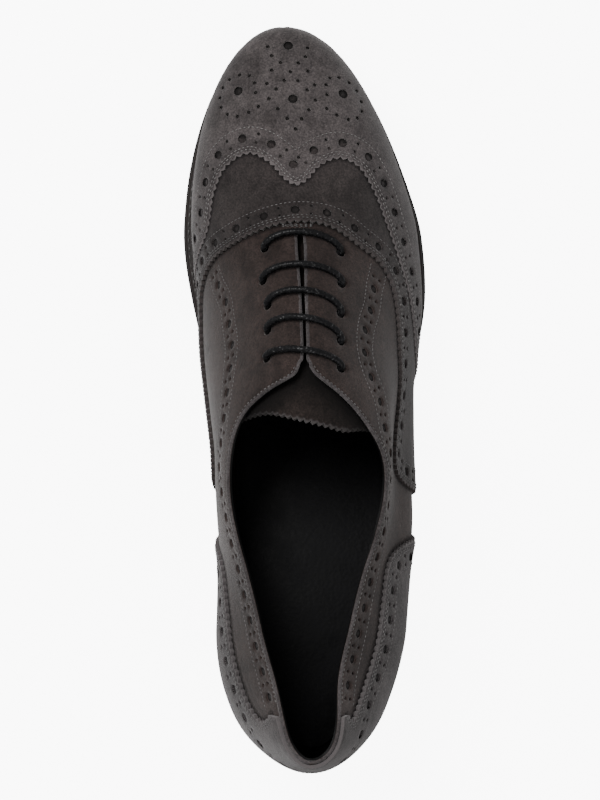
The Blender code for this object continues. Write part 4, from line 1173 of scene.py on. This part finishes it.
def shade_tongue(piece):
    """Paints shade on the tongue, darker towards the topline over it."""
    rim = np.concatenate([
        chart.lift(rim_line(side, TONGUE_SHADE_ROWS)) for side, chart in SIDES.items()])
    points = np.array([v.co for v in piece.data.vertices]) / MM - SHIFT
    away = np.linalg.norm(points[:, None, :2] - rim[None, :, :2], axis=2).min(axis=1)
    mark_points(piece.data, "shade", "FLOAT", 1 - eased(0.5, TONGUE_SHADE_REACH, away))


tongue_panel = make_tongue()
shade_tongue(tongue_panel)

# %% [markdown]
# ## The bottom of the shoe
#
# Outsole, welt, stacked heel, rubber top piece and sock are plates on one outline: the widest line
# of the last moved in or out.  A plate is a stack of rings, and the rings carry its rounded edges
# and grooves.

# %% Plates
GAP, WELT_THICKNESS, OUTSOLE_THICKNESS = 0.3, 2.4, 4.6
HEEL_BREAST, TOP_PIECE_THICKNESS, HEEL_TAPER = 64.0, 5.0, 1.6
WALL = 2.2


def outline(from_heel, side, margin):
    """Points of the last's widest line in plan, moved outward by margins."""
    near = np.clip(np.stack([from_heel - 0.05, from_heel + 0.05]), 0, LAST_LENGTH)
    x = last("centre", near) + side * half_width(near)
    run = np.stack([x[1] - x[0], near[1] - near[0]], 1)
    normal = np.stack([run[:, 1], -run[:, 0]], 1) * side
    normal[from_heel <= 0] = (0, -1)
    normal[from_heel >= LAST_LENGTH] = (0, 1)
    normal /= np.linalg.norm(normal, axis=1, keepdims=True)
    middle = np.stack([last("centre", from_heel) + side * half_width(from_heel), from_heel + HEEL_BACK], 1)
    return middle + normal * np.asarray(margin)[..., None]


def sole_margin(at, side):
    return by_side(SOLE_ROWS, side, at)


def inner_margin(at, side):
    return -last("tuck", at) - WALL * 1.12


def feather(at):
    return last("feather", at)


def outsole_top(at):
    return feather(at) - 2 * GAP - WELT_THICKNESS


def outsole_bottom(at):
    return np.maximum(0.0, outsole_top(at) - OUTSOLE_THICKNESS - GAP / 2)


def cosine_rows(end, count=120):
    if end >= LAST_LENGTH:
        return LAST_LENGTH * (1 - np.cos(np.linspace(0, math.pi, count))) / 2
    return end * (1 - np.cos(np.linspace(0, math.pi / 2, count)))


def lifted(height, amount):
    return lambda at: height(at) + amount


def level_at(height):
    return lambda at: np.full(len(at), float(height))


def between(low, high, share):
    return lambda at: low(at) + (high(at) - low(at)) * share


def stack_rings(rows, levels):
    """Rings round the shoe, each from a margin, an inset and a height."""
    rings = []
    for margin, inset, height in levels:
        left, right = (
            np.c_[outline(rows, side, margin(rows, side) - inset), height(rows)] for side in (-1, 1))
        rings.append(np.r_[left, right[::-1]])
    return rings


def bands(count, around, wrap=False):
    """Faces between each ring and the next, and from the last to the first if they wrap."""
    faces = []
    for level in range(count if wrap else count - 1):
        low, high = level * around, (level + 1) % count * around
        faces += [(low + i, low + (i + 1) % around, high + (i + 1) % around, high + i) for i in range(around)]
    return faces


def plate(name, end, levels, material, smooth=40):
    """A solid through rings, from the bottom up."""
    rows = cosine_rows(end)
    rings = stack_rings(rows, levels)
    around = len(rings[0])
    faces = bands(len(rings), around)
    for low in (0, (len(rings) - 1) * around):
        high = low + around - 1
        faces += [(low + i, low + i + 1, high - 1 - i, high - i) for i in range(len(rows) - 1)]
    return add_mesh(name, np.concatenate(rings), faces, material, smooth, close=True)


def rounded_edge(margin, low, high, radius, inset=0.0):
    """Levels of a plate's edge, rounded at the bottom and at the top."""
    lower, upper = [], []
    for turn in np.linspace(0, math.pi / 2, 5):
        wide, deep = radius * (1 - math.sin(turn)), radius * (1 - math.cos(turn))
        lower.append((margin, inset + wide, lifted(low, deep)))
        upper.append((margin, inset + deep, lifted(high, -wide)))
    return lower + upper


print("rings of a plate:", len(rounded_edge(sole_margin, outsole_bottom, outsole_top, 1.0)))

# %% Outsole, heel and sock
SOLE_ROUNDING, TOP_PIECE_ROUNDING = 1.0, 0.7
LIFTS, LIFT_INSET, TOP_PIECE_INSET = 3, 0.4, 0.3
LIFT_PROFILE = ((0.0, 0.3), (0.05, 0.0), (0.28, 0.0), (0.333, 0.3))   # share of the heel, groove
# The welt's outer edge: inset from the sole's edge, height over its lower face
WELT_PROFILE = ((1.1, 0.0), (0.7, 0.35), (0.6, 1.6), (0.9, 2.1))
WELT_TOP_INSET = 1.4
INSOLE_RISE, SOCK_EDGE = 2.2, 0.3
SOCK_CROWN, SOCK_TURN = 0.5, 0.9


def make_outsole():
    levels = rounded_edge(sole_margin, outsole_bottom, outsole_top, SOLE_ROUNDING)
    return plate("outsole_edge", LAST_LENGTH, levels, FINISH["sole_leather"])


def make_heel():
    low, high = level_at(TOP_PIECE_THICKNESS + GAP), lifted(outsole_bottom, -GAP)
    levels = []
    for lift in range(LIFTS):
        for share, groove in LIFT_PROFILE:
            at = min(lift / LIFTS + share, 1.0)
            levels.append((sole_margin, LIFT_INSET + HEEL_TAPER * (1 - at) + groove, between(low, high, at)))
    stack = plate("heel_lifts", HEEL_BREAST, levels, FINISH["sole_leather"], smooth=25)
    levels = rounded_edge(sole_margin, level_at(0), level_at(TOP_PIECE_THICKNESS), TOP_PIECE_ROUNDING,
                          TOP_PIECE_INSET + HEEL_TAPER)
    return stack, plate("heel_rubber_piece", HEEL_BREAST, levels, FINISH["heel_rubber"])


def make_welt():
    """A strip all round: its outer edge carries a fine groove, its top a line of thread."""
    low, high = lifted(outsole_top, GAP), lifted(feather, -GAP)
    levels = [(sole_margin, inset, lifted(low, height)) for inset, height in WELT_PROFILE]
    levels += [(sole_margin, WELT_TOP_INSET, high), (inner_margin, 0.0, high), (inner_margin, 0.0, low)]
    rings = stack_rings(cosine_rows(LAST_LENGTH), levels)
    faces = bands(len(rings), len(rings[0]), wrap=True)
    return add_mesh("welt_strip", np.concatenate(rings), faces, FINISH["welt_leather"], smooth=40, close=True)


def make_sock():
    """The sock: a full plate, crowned a little, with its edge turned down against the lining."""
    rows = cosine_rows(LAST_LENGTH, 160)
    low, high = lifted(outsole_top, GAP)(rows), lifted(feather, INSOLE_RISE)(rows)
    shares = np.r_[np.linspace(0, 0.12, 6), np.linspace(0.16, 0.84, 18), np.linspace(0.88, 1, 6)]
    edge = np.minimum(shares, 1 - shares)
    crown = SOCK_CROWN * eased(0.05, 0.5, edge) - SOCK_TURN * (1 - eased(0, 0.06, edge))
    inner, outer = (outline(rows, side, inner_margin(rows, side) - SOCK_EDGE) for side in (-1, 1))
    plan = inner[:, None] * (1 - shares[:, None]) + outer[:, None] * shares[:, None]
    sheets = [np.dstack([plan, height[:, None] + rise]) for height, rise in ((high, crown), (low, 0 * crown))]
    grid = np.arange(plan.shape[0] * plan.shape[1]).reshape(plan.shape[:2])
    cells = np.stack([grid[:-1, :-1], grid[1:, :-1], grid[1:, 1:], grid[:-1, 1:]], 2).reshape(-1, 4)
    walls = [np.stack([grid[:-1, j], grid[1:, j], grid[1:, j] + grid.size, grid[:-1, j] + grid.size], 1)
             for j in (0, -1)]
    faces = np.concatenate([cells, cells + grid.size, *walls]).tolist()
    return add_mesh("sock", np.reshape(sheets, (-1, 3)), faces, FINISH["sock_leather"], smooth=60, close=True)


outsole_edge = make_outsole()
heel_lifts, heel_rubber_piece = make_heel()
welt_strip = make_welt()
sock = make_sock()

# %% [markdown]
# ## The lace
#
# A round waxed lace crosses the throat in five bars.  Each comes up through one facing, bows
# towards the toe and goes down through the other.  The cord is a real braid: eight strands, half
# turning each way, that pass over and under each other round a core.

# %% Lace
STRANDS, STRAND_RADIUS, STRAND_SIDES = 8, 0.4, 5
BRAID_RADIUS, BRAID_SWING = 0.84, 0.05
BRAID_TURN = 1.25          # radians of turn for each millimetre of lace
CORE_RADIUS, CORE_SIDES = 1.15, 14     # the wax fills the braid almost to its outside
# Half of a bar's route: share of the way across, height over the facing
LACE_ROUTE = (
    (0, -3.2), (0, -0.6), (0.02, 0.9), (0.09, 1.7), (0.2, 1.75), (0.35, 1.85), (0.5, 1.95),
)
LACE_BEND = 2.5            # how squarely a bar bows: 2 is a parabola
LACE_POINTS = 230


def lace_route(first, second, bow):
    """One bar: up through a hole, over the facings and down the other hole."""
    ends = FRONT.to_flat(np.array([LAST.from_plan(*first), LAST.from_plan(*second)]))
    share, out = np.array(LACE_ROUTE + tuple((1 - s, o) for s, o in LACE_ROUTE[-2::-1])).T
    flat = ends[0] * (1 - share[:, None]) + ends[1] * share[:, None]
    flat[:, 0] += bow * (1 - np.abs(2 * share - 1) ** LACE_BEND)
    return spread(curve_through(FRONT.lift(flat, out), 0.5), LACE_POINTS)


def frames_along(path):
    """Two directions square to a path at each of its points, carried along without twist."""
    run = np.gradient(path, axis=0)
    run /= np.linalg.norm(run, axis=1, keepdims=True)
    sides, side = [], np.cross(run[0], (0, 1, 0.3))
    for way in run:
        side = side - way * side.dot(way)
        side = side / np.linalg.norm(side)
        sides.append(side)
    return np.array(sides), np.cross(run, sides)


def tube(path, radius, count):
    """Points and faces of a round tube along a path, closed at both ends."""
    side, other = frames_along(path)
    turn = np.linspace(0, 2 * math.pi, count, endpoint=False)[:, None]
    points = path[:, None] + radius * (np.cos(turn) * side[:, None] + np.sin(turn) * other[:, None])
    final = (len(path) - 1) * count
    ends = [tuple(range(count))[::-1], tuple(range(final, final + count))]
    return points.reshape(-1, 3), bands(len(path), count) + ends


def braid(path):
    """The core and the strands of one stretch of lace."""
    side, other = frames_along(path)
    length = arc_lengths(path)[:, None]
    made = [tube(path, CORE_RADIUS, CORE_SIDES)]
    for strand in range(STRANDS):
        k, hand = strand // 2, 1 - strand % 2 * 2
        turn = hand * BRAID_TURN * length + k * math.pi / 2 + strand % 2 * math.pi / 4
        reach = BRAID_RADIUS + hand * (-1) ** k * BRAID_SWING * np.sin(4 * BRAID_TURN * length)
        route = path + reach * (np.cos(turn) * side + np.sin(turn) * other)
        made.append(tube(route, STRAND_RADIUS, STRAND_SIDES))
    return made


def make_lace():
    points, faces, base = [], [], 0
    for bar in LACE_BARS:
        for more_points, more_faces in braid(lace_route(*bar)):
            points.append(more_points)
            faces += [tuple(base + i for i in face) for face in more_faces]
            base += len(more_points)
    return add_mesh("lace", np.concatenate(points), faces, FINISH["lace_cord"], smooth=60)


lace = make_lace()

# %% [markdown]
# ## The folded topline
#
# The suede is folded over a cord at the topline and at both edges of the slit, which leaves a
# small round bead.  It is one tube: from the slit back along the outer side, round the heel and
# forward again along the inner side.  Its suede is a lighter copy of the quarters' suede, a painted
# highlight where the bead catches the light.

# %% Folded edge
ROLL_RADIUS, ROLL_INSET = 0.62, 0.45
ROLL_SIDES, ROLL_POINTS = 8, 520


def make_roll():
    rows = side_rows(SLIT_START)[1:]
    sides = []
    for side in (1, -1):
        places = np.array([(at, topline(side, min(at, SLIT_START - 0.01))) for at in rows])
        edge = SIDES[side].to_flat(places) - [0, ROLL_INSET]
        sides.append(SIDES[side].lift(edge, -ROLL_RADIUS))
    path = spread(np.r_[sides[0][::-1], sides[1]], ROLL_POINTS)
    points, faces = tube(path, ROLL_RADIUS, ROLL_SIDES)
    return add_mesh("topline_roll", points, faces, FINISH["lit_roll_suede"], smooth=60, close=True)


topline_roll = make_roll()

# %% [markdown]
# ## Thread and cups by Geometry Nodes
#
# A stitch is a small bead of thread, and there are well over a thousand, so a node tree sets one
# bead at every pitch along the sewn lines.  A second tree sets a shallow cup in every punched
# hole, turned to the last's surface and scaled to the hole.  Both end in real meshes.

# %% Node trees
CUP_SIDES = 12
STITCH_VARY = (0.88, 1.06)             # smallest and largest stitch


def finish_tree(tree, instances, material, out):
    """Ends a node tree: the instances become a real mesh with its material."""
    real = put(tree, "GeometryNodeRealizeInstances", {"Geometry": instances})
    feed(tree, out, put(tree, "GeometryNodeSetMaterial", {"Geometry": real, "Material": material}))
    return tree


def stitch_tree():
    tree, given, out = new_group(
        "stitch_rows", "GeometryNodeTree",
        (("Lines", "Geometry", None), ("Pitch", "Float", 0.002), ("Length", "Float", 0.0014),
         ("Thickness", "Float", 0.0004), ("Seed", "Int", 3), ("Thread", "Material", None)),
        (("Stitches", "Geometry"),))
    curve = put(tree, "GeometryNodeMeshToCurve", {"Mesh": given["Lines"]})
    points = put(tree, "GeometryNodeCurveToPoints", {"Curve": curve, "Length": given["Pitch"]}, mode="LENGTH")
    tangent = points.node.outputs["Tangent"]
    turn = put(tree, "FunctionNodeAlignRotationToVector", {"Vector": tangent}, axis="X")
    ball = put(tree, "GeometryNodeMeshUVSphere", {"Segments": 6, "Rings": 5, "Radius": 0.5})
    ball = put(tree, "GeometryNodeSetShadeSmooth", {"Geometry": ball})
    size = put(tree, "ShaderNodeCombineXYZ", {
        "X": given["Length"], "Y": given["Thickness"], "Z": given["Thickness"]})
    bead = put(tree, "GeometryNodeTransform", {"Geometry": ball, "Scale": size})
    limits = dict(zip((2, 3), STITCH_VARY))
    vary = put(tree, "FunctionNodeRandomValue", {"Seed": given["Seed"], **limits}, 1, data_type="FLOAT")
    beads = put(tree, "GeometryNodeInstanceOnPoints", {
        "Points": points, "Instance": bead, "Rotation": turn, "Scale": vary})
    return finish_tree(tree, beads, given["Thread"], out["Stitches"])


def cup_tree():
    tree, given, out = new_group(
        "punched_cups", "GeometryNodeTree",
        (("Holes", "Geometry", None), ("Depth", "Float", 0.0007), ("Suede", "Material", None)),
        (("Cups", "Geometry"),))
    side = put(tree, "GeometryNodeMeshCylinder", {
        "Vertices": CUP_SIDES, "Radius": 1.0, "Depth": given["Depth"]}, fill_type="NONE")
    disc = put(tree, "GeometryNodeMeshCircle", {
        "Vertices": CUP_SIDES, "Radius": 1.0}, fill_type="TRIANGLE_FAN")
    sunk = []
    for part, share in ((side, -0.5), (disc, -1.0)):
        low = put(tree, "ShaderNodeCombineXYZ", {"Z": arithmetic(tree, "MULTIPLY", given["Depth"], share)})
        sunk.append(put(tree, "GeometryNodeTransform", {"Geometry": part, "Translation": low}))
    # Painted shade: the shade attribute grows from the cup's centre to its rim
    place = put(tree, "GeometryNodeInputPosition")
    reach = put(tree, "ShaderNodeVectorMath", {"Vector": place}, "Value", operation="LENGTH")
    cup = put(tree, "GeometryNodeStoreNamedAttribute", {
        "Geometry": put(tree, "GeometryNodeJoinGeometry", {0: sunk}), "Name": "shade", "Value": reach,
    }, data_type="FLOAT", domain="POINT")
    facing = put(tree, "GeometryNodeInputNamedAttribute", {"Name": "facing"}, data_type="FLOAT_VECTOR")
    radius = put(tree, "GeometryNodeInputNamedAttribute", {"Name": "radius"}, data_type="FLOAT")
    turn = put(tree, "FunctionNodeAlignRotationToVector", {"Vector": facing}, axis="Z")
    size = put(tree, "ShaderNodeCombineXYZ", {"X": radius, "Y": radius, "Z": 1.0})
    cups = put(tree, "GeometryNodeInstanceOnPoints", {
        "Points": given["Holes"], "Instance": cup, "Rotation": turn, "Scale": size})
    return finish_tree(tree, cups, given["Suede"], out["Cups"])


STITCH_ROWS, PUNCHED_CUPS = stitch_tree(), cup_tree()
print("node trees:", STITCH_ROWS.name, PUNCHED_CUPS.name)

# %% Stitches and cups
SEAM = {"Pitch": 1.6 * MM, "Length": 1.15 * MM, "Thickness": 0.38 * MM, "Seed": 7}
WELT_SEAM = {"Pitch": 3.0 * MM, "Length": 2.4 * MM, "Thickness": 0.7 * MM, "Seed": 5}
WELT_SEAM_START, WELT_SEAM_INSET, WELT_SEAM_LIFT = 66, 1.9, 0.03
CUP_DEPTH, CUP_SINK, CUP_SPREAD = 0.6, 0.1, 1.03


def source_mesh(name, points, edges=()):
    mesh = bpy.data.meshes.new(name)
    mesh.from_pydata(in_metres(points), list(edges), [])
    return mesh


def grow(name, mesh, tree, values):
    """Runs a node tree on a source mesh and keeps the result as a plain mesh."""
    source = link(bpy.data.objects.new(mesh.name, mesh))
    modifier = source.modifiers.new("grow", "NODES")
    modifier.node_group = tree
    for item in tree.interface.items_tree:
        if item.item_type == "SOCKET" and item.in_out == "INPUT" and item.name in values:
            modifier[item.identifier] = values[item.name]
    graph = bpy.context.evaluated_depsgraph_get()
    grown = bpy.data.meshes.new_from_object(source.evaluated_get(graph))
    source.modifiers.remove(modifier)
    bpy.data.objects.remove(source)
    grown.name = name
    print(name, len(grown.polygons), "faces")
    return link(bpy.data.objects.new(name, grown))


def stitches(name, lines, thread, values):
    """Beads of thread along sewn lines."""
    edges, base = [], 0
    for line in lines:
        edges += [(base + i, base + i + 1) for i in range(len(line) - 1)]
        base += len(line)
    source = source_mesh(name + "_lines", np.concatenate(lines), edges)
    return grow(name, source, STITCH_ROWS, {**values, "Thread": FINISH[thread]})


def make_cups():
    places, tops, radii = (np.array(values) for values in zip(*perforations))
    source = source_mesh("holes", LAST.surface(places, tops - CUP_SINK))
    mark_points(source, "facing", "FLOAT_VECTOR", LAST.normal(places))
    mark_points(source, "radius", "FLOAT", radii * CUP_SPREAD * MM)
    return grow("hole_cups", source, PUNCHED_CUPS, {"Depth": CUP_DEPTH * MM, "Suede": FINISH["hole_suede"]})


cap_stitches = stitches("cap_stitches", sewn["cap"], "cap_thread", SEAM)
seam_stitches = stitches("seam_stitches", sewn["seam"], "seam_thread", SEAM)
hole_cups = make_cups()
welt_line = stack_rings(np.linspace(WELT_SEAM_START, LAST_LENGTH, 300), [
    (sole_margin, WELT_SEAM_INSET, lifted(feather, WELT_SEAM_LIFT - GAP))])
welt_stitches = stitches("welt_stitches", welt_line, "dark_thread", WELT_SEAM)

# %% [markdown]
# ## Hand-over
# Every piece rides on the shoe's one body, and the solids it stands for are hidden.

# %% Ride and replace
PIECES = (
    (wing_cap, "grey_suede_cap", ("toe_cap",)),
    (vamp_panel, "grey_suede", ("vamp",)),
    (quarters, "grey_suede", ("upper",)),
    (counter_panel, "grey_suede_cap", ("heel_counter",)),
    (tongue_panel, "grey_suede", ("tongue",)),
    (topline_roll, "grey_suede", ()),
    (lining, "black_leather", ()),
    (sock, "black_leather", ("insole",)),
    (outsole_edge, "dark_sole_leather", ("outsole",)),
    (heel_lifts, "dark_sole_leather", ("heel_stack",)),
    (heel_rubber_piece, "black_rubber", ("heel_top_piece",)),
    (welt_strip, "brown_welt_leather", ("welt",)),
    (lace, "waxed_black_cord", tuple(f"lace_bar_{k}" for k in range(1, 6))),
    (cap_stitches, "grey_suede_cap", ()),
    (seam_stitches, "grey_suede", ()),
    (hole_cups, "grey_suede", ()),
    (welt_stitches, "dark_sole_leather", ()),
)
for piece, slot, nodes in PIECES:
    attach(piece, "root")
    if nodes:
        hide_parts(*nodes)

triangles = sum(len(p.vertices) - 2 for piece, _, _ in PIECES for p in piece.data.polygons)
print("triangles in all:", triangles)
